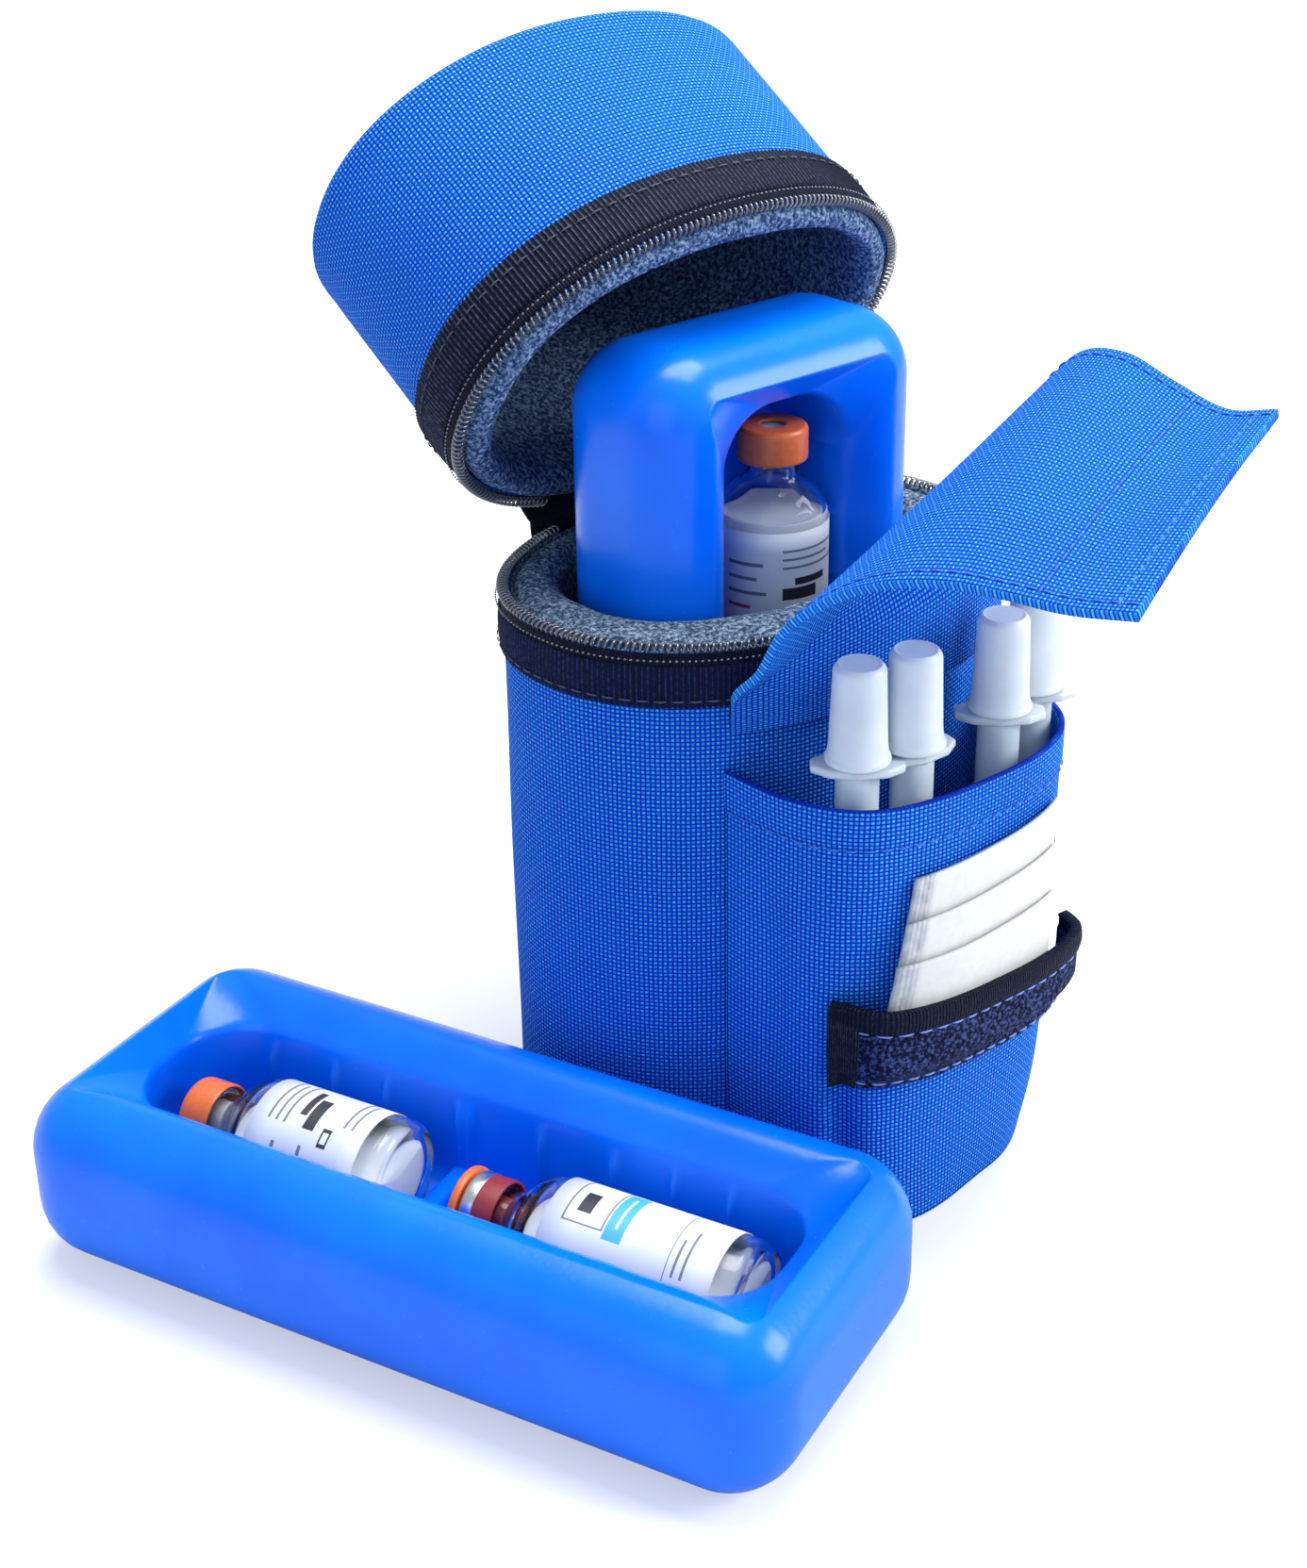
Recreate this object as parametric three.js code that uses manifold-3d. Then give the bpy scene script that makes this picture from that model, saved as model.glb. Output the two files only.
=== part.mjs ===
// Insulin cooling case: a zippered, foam-lined oval case with a hinged lid, a syringe pocket with its
// flap, and two moulded cooling trays that carry insulin vials. One tray stands in the case and the
// spare tray lies beside it. Millimetres, +Z up, pocket side at -Y, hinge side at +Y.
// The origin is on the floor, under the middle of the case.
import * as THREE from 'three';
import { mergeVertices } from 'three/addons/utils/BufferGeometryUtils.js';
import Module from 'manifold-3d';

const wasm = await Module();
wasm.setup();

// Driving dimensions
const fit = 0.3; // clearance between pieces that touch
const cloth = 1.2; // lined fabric wall
const wall = { height: 121 };
const ovalPower = 2.15; // squareness of the case's oval plan
const floorBoard = 1.5;
const floorPad = 2.2;
const liner = { sideRoom: 4.5, frontRoom: 8.3, side: 13, front: 10.7, power: 2, edge: 1.6 };
const lid = { headroom: 3.9, flareShare: 0.03, openDegrees: 58, edge: 3, foamTop: 6 };
const lidLiner = { side: 7.5, front: 6.5, power: 2.4 };
const zip = { tapeHeight: 10.5, tapeWall: 0.9, coilRadius: 0.9, sides: 6 };
const hinge = { halfWidth: 24, thickness: 0.6, reach: 15, foldGap: 0.67 };
const slider = { length: 7.4, width: 3.6, height: 3.4, pullLength: 15, pullWidth: 5, pullWall: 1.2 };
const tray = { endWall: 13, sideWall: 18.5, depth: 37, topRound: 13, bottomRound: 14, offsetY: 3 };
const recess = { endRoom: 5.1, sideRoom: 5.3, floor: 9.2, slopeDepth: 6, draft: 1.2, corner: 13 };
const trayMouth = { reach: 5.5, side: 8, corner: 3 };
const rib = { reach: 1.1, halfWidth: 1.3, topRadius: 0.8, drop: 3, stop: 5.5, stopWall: 4, stopPlace: -9.3 };
const pocket = { halfWidth: 35.5, depth: 25.5, drop: 26, lift: 0.8, power: 3, baseInset: 2, insetTop: 36 };
const packet = { width: 42, wall: 1, lift: 3 };
const band = { wall: 1.6, low: 36.4, high: 51.8, binding: 3.4, rise: 1.6, endRoom: 2.5 };
const flap = { halfWidth: 36.5, wall: 1.6, seamDrop: 15, foldOut: 5, foldRise: 1.4 };
const flapRise = { reach: 3, climb: 20.6 };
const flapEnd = { reach: 63, climb: 19, hookWidth: 16, hookWall: 1.1, hookInset: 4 };
const vial = { radius: 11.2, length: 51, glass: 1.1, neckRadius: 5.2, sealRadius: 7.1, sealHeight: 8.1 };
const neck = { drop: 12, shoulder: 6.2, lipRadius: 6.2, lipHeight: 3.6, bore: 3.4 };
const stopper = { flange: 1.8, plug: 5.5 };
const seal = { wall: 0.6, hole: 2.7 };
const label = { low: 5.5, height: 25, wall: 0.25 };
const fillShare = 0.96;
const longVial = { radius: 10.7, length: 61, slack: 8.2 };
const flipDisc = { radius: 7.4, height: 1.5 };
const standingLean = { side: 3.4, lift: 2.5 };
const lyingLean = { side: -1.8, lift: 0 };
const syringe = { barrelRadius: 4.1, barrelHeight: 63.6 };
const needleShield = { radius: 3.3, height: 34, tipRadius: 2.6 };
const flange = { length: 18.4, width: 7.4, height: 1.6, turnDegrees: 42 };
const cap = { lowRadius: 5.8, topRadius: 4.9, height: 19.4, round: 1.1, lift: 1.2 };
const syringePlaceShares = [[-0.628, 0.51], [-0.29, 0.608], [0.389, 0.608], [0.732, 0.51]];
const spare = { gap: 5.7, along: -13.3, turnDegrees: -70 };

// Facet counts
const ovalSteps = 44;
const roundSteps = 18;
const cornerSteps = 4;

// Values that follow from the driving dimensions
const upperVialBase = rib.stopPlace - rib.stopWall / 2 - fit;
const lowerVialBase = rib.stopPlace + rib.stopWall / 2 + longVial.slack + longVial.length + flipDisc.height;
const recessLength = 2 * (Math.max(vial.length - upperVialBase, lowerVialBase) + recess.endRoom);
const recessWidth = 2 * (vial.radius + recess.sideRoom);
const trayLength = recessLength + 2 * tray.endWall;
const trayWidth = recessWidth + 2 * tray.sideWall;
const lining = cloth + fit;
const caseCavity = { halfWidth: trayWidth / 2 + liner.sideRoom, halfDepth: tray.depth / 2 + liner.frontRoom };
const wallHalfWidth = caseCavity.halfWidth + liner.side + lining;
const wallHalfDepth = caseCavity.halfDepth + liner.front + lining;
const lidCavity = {
  halfWidth: wallHalfWidth - lining - lidLiner.side,
  halfDepth: wallHalfDepth - lining - lidLiner.front,
};
caseCavity.power = liner.power;
lidCavity.power = lidLiner.power;
const bandHalfWidth = pocket.halfWidth - band.endRoom;
const pocketFront = wallHalfDepth + pocket.depth;
const pocketTop = wall.height - pocket.drop;
const foldY = wallHalfDepth + flap.foldOut;
const foldZ = wall.height + flap.foldRise;
const bendY = foldY + flapRise.reach;
const bendZ = foldZ + flapRise.climb;
const hingeY = wallHalfDepth + zip.tapeWall + fit + fit + hinge.thickness / 2;
const hingeZ = wall.height + fit;
const rimZ = wall.height - 2 * zip.coilRadius - fit;
const tapeOuter = zip.tapeWall + fit;
const linerBase = floorBoard + fit + floorPad + fit;
const lidRim = hingeZ + fit;
const lidBevel = lid.edge * (1 - Math.SQRT1_2);
const lidCeiling = linerBase + trayLength + lid.headroom;
const lidTop = lidCeiling + lid.foamTop + fit + lidBevel + cloth;
const lidWallBase = lidRim + 2 * zip.coilRadius + fit;

const colours = {
  fabric: 0x1d5fd0, tape: 0x14161f, foam: 0x3a414b, moulded: 0x0a55e6, nylon: 0x11131b, metal: 0x8b9098,
  loop: 0x141a3a, glass: 0xdfeef2, liquid: 0xd9e4e8, rubber: 0x8a8d90, orange: 0xc8502a, silver: 0xb9bdc2,
  paper: 0xf2f2f0, frosted: 0xe6ecf2, clear: 0xd3e2ee, redRubber: 0x5a1620,
};

const model = new THREE.Group();
model.name = 'insulin_cooling_case';

// Geometry helpers

function ovalPoint(halfWidth, halfDepth, power, angle) {
  const c = Math.cos(angle);
  const s = Math.sin(angle);
  const x = halfWidth * Math.sign(c) * Math.abs(c) ** (2 / power);
  const y = halfDepth * Math.sign(s) * Math.abs(s) ** (2 / power);
  return new THREE.Vector2(x, y);
}

function ovalRing(halfWidth, halfDepth, power, z, centreY = 0) {
  return Array.from({ length: ovalSteps }, (_, i) => {
    const p = ovalPoint(halfWidth, halfDepth, power, (2 * Math.PI * i) / ovalSteps);
    return new THREE.Vector3(p.x, p.y + centreY, z);
  });
}

// A ring at an even distance outside the case's own outline.
function caseRing(offset, z, scale = 1) {
  return ovalRing(wallHalfWidth * scale + offset, wallHalfDepth * scale + offset, ovalPower, z);
}

// Half depth of the case's outline, widened by offset, at a place x across it.
function depthAt(x, offset = 0) {
  const share = Math.abs(x) / (wallHalfWidth + offset);
  return (wallHalfDepth + offset) * (1 - share ** ovalPower) ** (1 / ovalPower);
}

function signedVolume(geometry) {
  const p = geometry.attributes.position;
  const index = geometry.index;
  const [a, b, c] = [new THREE.Vector3(), new THREE.Vector3(), new THREE.Vector3()];
  let total = 0;
  for (let i = 0; i < index.count; i += 3) {
    a.fromBufferAttribute(p, index.getX(i));
    b.fromBufferAttribute(p, index.getX(i + 1));
    c.fromBufferAttribute(p, index.getX(i + 2));
    total += a.dot(b.cross(c));
  }
  return total;
}

// One closed body from points and triangles, turned so that its faces point out.
function closedBody(points, faces) {
  const geometry = new THREE.BufferGeometry();
  const numbers = points.flatMap((p) => [p.x, p.y, p.z]);
  geometry.setAttribute('position', new THREE.Float32BufferAttribute(numbers, 3));
  geometry.setIndex(faces.flat());
  if (signedVolume(geometry) < 0) geometry.setIndex(faces.flatMap(([a, b, c]) => [a, c, b]));
  return geometry;
}

// Skin through rings of equal count. A hollow one runs back to its first ring, another one is capped.
function ringSolid(rings, hollow) {
  const count = rings[0].length;
  const points = rings.flat();
  const faces = [];
  const last = hollow ? rings.length : rings.length - 1;
  for (let r = 0; r < last; r += 1) {
    const low = r * count;
    const high = ((r + 1) % rings.length) * count;
    for (let i = 0; i < count; i += 1) {
      const j = (i + 1) % count;
      faces.push([low + i, low + j, high + j], [low + i, high + j, high + i]);
    }
  }
  if (!hollow) {
    const top = (rings.length - 1) * count;
    for (let i = 1; i < count - 1; i += 1) faces.push([0, i + 1, i], [top, top + i, top + i + 1]);
  }
  return closedBody(points, faces);
}

// A sheet of even thickness about the surface through rows of points.
function sheetSolid(rows, thickness) {
  const nr = rows.length;
  const nc = rows[0].length;
  const points = [];
  for (const side of [1, -1]) {
    rows.forEach((row, r) => row.forEach((p, c) => {
      const along = rows[Math.min(r + 1, nr - 1)][c].clone().sub(rows[Math.max(r - 1, 0)][c]);
      const across = row[Math.min(c + 1, nc - 1)].clone().sub(row[Math.max(c - 1, 0)]);
      const normal = along.cross(across).normalize();
      points.push(p.clone().addScaledVector(normal, (side * thickness) / 2));
    }));
  }
  const faces = [];
  const at = (r, c, side) => side * nr * nc + r * nc + c;
  for (let r = 0; r < nr - 1; r += 1) {
    for (let c = 0; c < nc - 1; c += 1) {
      faces.push([at(r, c, 0), at(r, c + 1, 0), at(r + 1, c + 1, 0)]);
      faces.push([at(r, c, 0), at(r + 1, c + 1, 0), at(r + 1, c, 0)]);
      faces.push([at(r, c, 1), at(r + 1, c + 1, 1), at(r, c + 1, 1)]);
      faces.push([at(r, c, 1), at(r + 1, c, 1), at(r + 1, c + 1, 1)]);
    }
  }
  const edge = [];
  for (let c = 0; c < nc - 1; c += 1) edge.push([0, c]);
  for (let r = 0; r < nr - 1; r += 1) edge.push([r, nc - 1]);
  for (let c = nc - 1; c > 0; c -= 1) edge.push([nr - 1, c]);
  for (let r = nr - 1; r > 0; r -= 1) edge.push([r, 0]);
  edge.forEach(([r, c], i) => {
    const [r2, c2] = edge[(i + 1) % edge.length];
    faces.push([at(r, c, 0), at(r, c, 1), at(r2, c2, 1)], [at(r, c, 0), at(r2, c2, 1), at(r2, c2, 0)]);
  });
  return closedBody(points, faces);
}

// A turned piece about +Z from [radius, height] points.
function turned(profile, steps = roundSteps) {
  const shape = new THREE.LatheGeometry(profile.map(([r, h]) => new THREE.Vector2(r, h)), steps);
  return shape.rotateX(Math.PI / 2);
}

function extruded(outline, height, holes = []) {
  const shape = new THREE.Shape(outline.map((p) => new THREE.Vector2(p.x, p.y)));
  shape.holes = holes.map((hole) => new THREE.Path(hole.map((p) => new THREE.Vector2(p.x, p.y))));
  return new THREE.ExtrudeGeometry(shape, { depth: height, bevelEnabled: false });
}

function weld(geometry) {
  const plain = geometry.clone();
  plain.deleteAttribute('normal');
  plain.deleteAttribute('uv');
  return mergeVertices(plain);
}

function toSolid(geometry) {
  const plain = weld(geometry);
  const vertProperties = new Float32Array(plain.attributes.position.array);
  const triVerts = new Uint32Array(plain.index.array);
  return new wasm.Manifold(new wasm.Mesh({ numProp: 3, vertProperties, triVerts }));
}

function fromSolid(solid) {
  const mesh = solid.getMesh();
  const geometry = new THREE.BufferGeometry();
  geometry.setAttribute('position', new THREE.BufferAttribute(mesh.vertProperties, 3));
  geometry.setIndex(new THREE.BufferAttribute(mesh.triVerts, 1));
  return geometry;
}

function part(parent, name, geometry, color, roughness = 0.9, metalness = 0) {
  const mesh = new THREE.Mesh(geometry, new THREE.MeshStandardMaterial({ color, roughness, metalness }));
  mesh.name = name;
  parent.add(mesh);
  return mesh;
}

// Zip chain of the case or the lid: a cord of round section along the rim, open at the hinge.
function zipCoil(z, start, end) {
  const section = new THREE.Shape();
  section.absarc(0, 0, zip.coilRadius, 0, 2 * Math.PI);
  const route = Array.from({ length: ovalSteps + 1 }, (_, i) => {
    const p = ovalPoint(wallHalfWidth, wallHalfDepth, ovalPower, start + ((end - start) * i) / ovalSteps);
    return new THREE.Vector3(p.x, p.y, z);
  });
  const extrudePath = new THREE.CatmullRomCurve3(route);
  const options = { steps: ovalSteps, curveSegments: zip.sides / 2, extrudePath };
  return new THREE.ExtrudeGeometry(section, options);
}

// Angle on the case's outline of the point at x on the back half.
function backAngle(x) {
  const c = Math.sign(x) * (Math.abs(x) / wallHalfWidth) ** (ovalPower / 2);
  return Math.acos(c);
}

const sliderX = hinge.halfWidth + slider.length;
const coilStart = backAngle(-hinge.halfWidth);
const coilEnd = backAngle(sliderX + slider.length) + 2 * Math.PI;

// Case

function caseShell() {
  const outer = caseRing(0, 0);
  return extruded(outer, rimZ, [caseRing(-cloth, 0)]);
}

function linerSolid(low, high, inner, centreY, lowScale = 1) {
  const out = -cloth - fit;
  const mouth = (grow, z) => (
    ovalRing(inner.halfWidth + grow, inner.halfDepth + grow, inner.power, z, centreY)
  );
  return ringSolid([
    caseRing(out, low, lowScale), caseRing(out, high - liner.edge), caseRing(out - liner.edge, high),
    mouth(liner.edge, high), mouth(0, high - liner.edge), mouth(0, low),
  ], true);
}

function buildCase() {
  part(model, 'case_shell', caseShell(), colours.fabric);
  part(model, 'case_base_board', extruded(caseRing(-cloth - fit, 0), floorBoard), colours.fabric);
  const pad = extruded(caseRing(-cloth - fit, 0), floorPad).translate(0, 0, floorBoard + fit);
  part(model, 'case_foam_base', pad, colours.foam);
  const foam = linerSolid(linerBase, rimZ + zip.coilRadius, caseCavity, tray.offsetY);
  part(model, 'case_foam_liner', foam, colours.foam);
  const tape = extruded(caseRing(tapeOuter, 0), zip.tapeHeight, [caseRing(fit, 0)]);
  part(model, 'case_zip_tape', tape.translate(0, 0, rimZ - zip.tapeHeight), colours.tape);
  part(model, 'case_zip_coil', zipCoil(rimZ + fit + zip.coilRadius, coilStart, coilEnd), colours.nylon, 0.4);
}

// Fabric hinge: one strip on each half, lofted from the curved wall to the straight fold line.
function hingeStrip(fromZ, toZ) {
  const steps = 4;
  const columns = 10;
  return sheetSolid(Array.from({ length: steps + 1 }, (_, r) => {
    const t = r / steps;
    const ease = t * t * (3 - 2 * t);
    return Array.from({ length: columns + 1 }, (_, c) => {
      const x = hinge.halfWidth * ((2 * c) / columns - 1);
      const curved = depthAt(x, tapeOuter + fit + hinge.thickness / 2);
      const y = THREE.MathUtils.lerp(curved, hingeY, ease);
      return new THREE.Vector3(x, y, THREE.MathUtils.lerp(fromZ, toZ, t));
    });
  }), hinge.thickness);
}

function buildZipSlider() {
  const angle = backAngle(sliderX);
  const at = ovalPoint(wallHalfWidth, wallHalfDepth, ovalPower, angle);
  const next = ovalPoint(wallHalfWidth, wallHalfDepth, ovalPower, angle + 1 / ovalSteps);
  const holder = new THREE.Group();
  holder.position.set(at.x, at.y, rimZ + fit);
  holder.rotation.z = Math.atan2(next.y - at.y, next.x - at.x) - Math.PI;
  const body = new THREE.Shape();
  const nose = slider.width / 4;
  body.moveTo(-slider.length / 2, -slider.width / 2);
  body.lineTo(slider.length / 2 - nose, -slider.width / 2);
  body.lineTo(slider.length / 2, -nose);
  body.lineTo(slider.length / 2, nose);
  body.lineTo(slider.length / 2 - nose, slider.width / 2);
  body.lineTo(-slider.length / 2, slider.width / 2);
  const block = new THREE.ExtrudeGeometry(body, { depth: slider.height, bevelEnabled: false });
  part(holder, 'zip_slider', block, colours.metal, 0.35, 0.8);
  const tab = new THREE.Shape();
  const half = slider.pullWidth / 2;
  tab.moveTo(-half, 0);
  tab.lineTo(-half, half - slider.pullLength);
  tab.absarc(0, half - slider.pullLength, half, Math.PI, 2 * Math.PI);
  tab.lineTo(half, 0);
  const hole = new THREE.Path();
  hole.absarc(0, half - slider.pullLength, half / 2, 0, 2 * Math.PI, true);
  tab.holes.push(hole);
  const options = { depth: slider.pullWall, bevelEnabled: false, curveSegments: cornerSteps };
  const pull = new THREE.ExtrudeGeometry(tab, options);
  pull.rotateX(Math.PI / 2);
  pull.translate(0, slider.width / 2 + fit + slider.pullWall, slider.height / 2);
  part(holder, 'zip_pull', pull, colours.metal, 0.35, 0.8);
  model.add(holder);
}

// Lid, modelled closed about the hinge line and then turned open.
function buildLid() {
  const group = new THREE.Group();
  group.position.set(0, hingeY, hingeZ);
  group.rotation.x = -THREE.MathUtils.degToRad(lid.openDegrees);
  const put = (name, geometry, color, roughness) => {
    part(group, name, geometry.translate(0, -hingeY, -hingeZ), color, roughness);
  };
  const flare = 1 + lid.flareShare;
  const shoulder = lidTop - lid.edge;
  const flareAt = (z) => 1 + (lid.flareShare * (z - lidWallBase)) / (shoulder - lidWallBase);
  put('lid_shell', ringSolid([
    caseRing(0, lidWallBase), caseRing(0, shoulder, flare), caseRing(-lidBevel, lidTop - lidBevel, flare),
    caseRing(-lid.edge, lidTop, flare), caseRing(-lid.edge, lidTop - cloth, flare),
    caseRing(-lidBevel - cloth, lidTop - lidBevel - cloth, flare), caseRing(-cloth, shoulder - cloth, flare),
    caseRing(-cloth, lidWallBase),
  ], true), colours.fabric);
  const panel = extruded(caseRing(-lid.edge - fit, 0, flare), cloth).translate(0, 0, lidTop - cloth);
  put('lid_top_panel', panel, colours.fabric);
  const top = extruded(caseRing(-lid.edge - cloth - fit, 0, flare), lid.foamTop).translate(0, 0, lidCeiling);
  put('lid_foam_top', top, colours.foam);
  const foamTop = lidCeiling - fit;
  const foam = linerSolid(0, foamTop - lidRim, lidCavity, 0, flareAt(foamTop)).rotateX(Math.PI);
  put('lid_foam_liner', foam.translate(0, 0, lidCeiling - fit), colours.foam);
  const tapeTop = lidWallBase + zip.tapeHeight;
  put('lid_zip_tape', ringSolid([
    caseRing(tapeOuter, lidWallBase), caseRing(tapeOuter, tapeTop, flareAt(tapeTop)),
    caseRing(fit, tapeTop, flareAt(tapeTop)), caseRing(fit, lidWallBase),
  ], true), colours.tape);
  put('lid_zip_coil', zipCoil(lidRim + zip.coilRadius, coilStart, coilEnd), colours.nylon, 0.4);
  put('lid_hinge_strip', hingeStrip(hingeZ + hinge.reach, hingeZ + hinge.foldGap), colours.tape);
  model.add(group);
}

// Syringe pocket

// Plan of the pocket at height z: half an oval standing on the case wall, from share 0 to 1 left to right.
function pocketPoint(share, z, offset) {
  const drop = Math.max(0, 1 - z / pocket.insetTop);
  const half = pocket.halfWidth - pocket.baseInset * drop * drop;
  const start = depthAt(half - cloth / 2, fit);
  const p = ovalPoint(half + offset, pocketFront - start + offset, pocket.power, Math.PI * (1 - share));
  return new THREE.Vector3(p.x, -start - p.y, z);
}

// Share along the pocket's plan at which it stands at x.
function pocketShare(x) {
  const c = Math.sign(x) * (Math.abs(x) / pocket.halfWidth) ** (pocket.power / 2);
  return 1 - Math.acos(c) / Math.PI;
}

function pocketSheet(heights, shares, thickness, offsetAt) {
  return sheetSolid(heights.map((z, r) => shares.map((s) => pocketPoint(s, z, offsetAt(s, r)))), thickness);
}

function evenShares(from, to, steps) {
  return Array.from({ length: steps + 1 }, (_, i) => from + ((to - from) * i) / steps);
}

function pocketFloor() {
  const steps = 20;
  const front = evenShares(0, 1, steps).map((s) => pocketPoint(s, 0, -cloth / 2 - fit));
  const reach = front[steps].x;
  const back = evenShares(-1, 1, steps / 2).map(
    (s) => new THREE.Vector2(-s * reach, -depthAt(s * reach, fit)),
  );
  return extruded([...front.slice(1, steps), ...back], cloth).translate(0, 0, pocket.lift);
}

const packetPitch = packet.wall + fit;
const firstPacket = cloth / 2 + fit + packet.wall / 2;
const bandStand = firstPacket + 2 * packetPitch + packet.wall / 2 + fit + band.wall / 2;
const bandSeat = cloth / 2 + fit + band.wall / 2;

// The loop band stands off over the packets and comes down to the pocket at both ends and along its foot.
function bandOffset(share) {
  const rise = pocketShare(-packet.width / 2 - band.rise) - pocketShare(-bandHalfWidth);
  const away = Math.min(share - pocketShare(-bandHalfWidth), pocketShare(bandHalfWidth) - share) / rise;
  const ease = THREE.MathUtils.smoothstep(away, 0, 1);
  return bandSeat + (bandStand - bandSeat) * ease;
}

// Heights of each packet's top corners, left and right, as shares of the pocket's height.
const packetTopShares = [[0.853, 0.821], [0.774, 0.735], [0.684, 0.632]];

function buildPocket() {
  const wallShares = evenShares(0, 1, 26);
  const heights = evenShares(0, 1, 6).map((s) => pocket.lift + (pocketTop - pocket.lift) * s);
  part(model, 'pocket_panel', pocketSheet(heights, wallShares, cloth, () => 0), colours.fabric);
  part(model, 'pocket_floor', pocketFloor(), colours.fabric);
  const bandShares = evenShares(pocketShare(-bandHalfWidth), pocketShare(bandHalfWidth), 22);
  const foot = [band.low, band.low + band.rise, (band.low + band.high) / 2, band.high];
  const bandSolid = pocketSheet(foot, bandShares, band.wall, (s, r) => (r === 0 ? bandSeat : bandOffset(s)));
  part(model, 'loop_band', bandSolid, colours.loop);
  const edge = [band.high + fit, band.high + fit + band.binding];
  part(model, 'band_binding', pocketSheet(edge, bandShares, band.wall, bandOffset), colours.tape);
  const half = packet.width / 2;
  packetTopShares.forEach(([left, right], i) => {
    const shares = evenShares(pocketShare(-half), pocketShare(half), 8);
    const offset = firstPacket + packetPitch * i;
    const rows = [0, 1].map((up) => shares.map((s, c) => {
      const head = pocketTop * THREE.MathUtils.lerp(left, right, c / 8);
      return pocketPoint(s, 0, offset).setZ(up ? head : band.low + packet.lift).add(pocketShift(s, offset));
    }));
    part(model, `swab_packet_${i + 1}`, sheetSolid(rows, packet.wall), colours.paper, 0.6);
  });
}

// The plan above the tapered foot, seen from the plan at the floor.
function pocketShift(share, offset) {
  const above = pocketPoint(share, pocket.insetTop, offset);
  const below = pocketPoint(share, 0, offset);
  return above.sub(below).setZ(0);
}

// Flap: a sewn root, a short panel that lies over the syringe caps, and the long end with its hook strip.
function flapColumns(steps) {
  return evenShares(-1, 1, steps).map((s) => s * flap.halfWidth);
}

function flapRoot() {
  const stop = foldZ - flap.wall / 2 - fit;
  return sheetSolid(evenShares(0, 1, 4).map((t) => flapColumns(12).map((x) => {
    const onWall = depthAt(x, tapeOuter + fit + flap.wall / 2);
    const ease = t * t * (3 - 2 * t);
    const y = -THREE.MathUtils.lerp(onWall, foldY, ease);
    return new THREE.Vector3(x, y, THREE.MathUtils.lerp(wall.height - flap.seamDrop, stop, t));
  })), flap.wall);
}

function flapOver() {
  const length = Math.hypot(bendY - foldY, bendZ - foldZ);
  const endShare = 1 - (flap.wall / 2 + fit) / length;
  return sheetSolid([0, endShare / 2, endShare].map((t) => flapColumns(12).map((x) => new THREE.Vector3(
    x, -THREE.MathUtils.lerp(foldY, bendY, t), THREE.MathUtils.lerp(foldZ, bendZ, t),
  ))), flap.wall);
}

// Side edges of the lifted end, as shares of its reach out and its climb.
const leftEdgeShares = [[0, 0], [0.16, 0.22], [0.4, 0.44], [0.63, 0.54], [0.86, 0.6], [1.09, 0.7]];
const rightEdgeShares = [[0, 0], [0.07, 0.58], [0.21, 1], [0.42, 1.16], [0.65, 1.1], [0.92, 1.15]];

function flapEndPoint(across, t, offset = 0) {
  const curve = (shares) => new THREE.CatmullRomCurve3(shares.map(([out, up]) => new THREE.Vector3(
    0, -bendY - out * flapEnd.reach, bendZ + up * flapEnd.climb,
  )));
  const [left, right] = [curve(leftEdgeShares), curve(rightEdgeShares)];
  const mix = (across + 1) / 2;
  const point = left.getPoint(t).lerp(right.getPoint(t), mix);
  const ahead = left.getTangent(t).lerp(right.getTangent(t), mix).normalize();
  const under = new THREE.Vector3(0, ahead.z, -ahead.y).multiplyScalar(-1);
  if (under.z > 0) under.multiplyScalar(-1);
  return point.addScaledVector(under, offset).setX(across * flap.halfWidth);
}

function buildFlap() {
  part(model, 'flap_root', flapRoot(), colours.fabric);
  part(model, 'flap_over', flapOver(), colours.fabric);
  const across = evenShares(-1, 1, 12);
  const rows = evenShares(0, 1, 10).map((t) => across.map((a) => flapEndPoint(a, t)));
  part(model, 'flap_end', sheetSolid(rows, flap.wall), colours.fabric);
  const arc = flapEnd.reach + flapEnd.climb / 2;
  const from = 1 - (flapEnd.hookInset + flapEnd.hookWidth) / arc;
  const to = 1 - flapEnd.hookInset / arc;
  const depth = (flap.wall + flapEnd.hookWall) / 2 + fit;
  const inner = evenShares(-1, 1, 12).map((a) => a * (1 - (2 * flapEnd.hookInset) / flap.halfWidth));
  const hook = evenShares(from, to, 3).map((t) => inner.map((a) => flapEndPoint(a, t, depth)));
  part(model, 'flap_hook_strip', sheetSolid(hook, flapEnd.hookWall), colours.loop);
}

// Cooling tray, modelled lying: length along X, recess up, standing on z = 0.

function roundedRing(halfLength, halfWidth, radius, z) {
  const ring = [];
  const corners = [[1, 1, 0], [-1, 1, 1], [-1, -1, 2], [1, -1, 3]];
  for (const [sx, sy, quarter] of corners) {
    for (let i = 0; i <= cornerSteps; i += 1) {
      const a = (Math.PI / 2) * (quarter + i / cornerSteps);
      const x = sx * (halfLength - radius) + radius * Math.cos(a);
      ring.push(new THREE.Vector3(x, sy * (halfWidth - radius) + radius * Math.sin(a), z));
    }
  }
  return ring;
}

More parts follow.
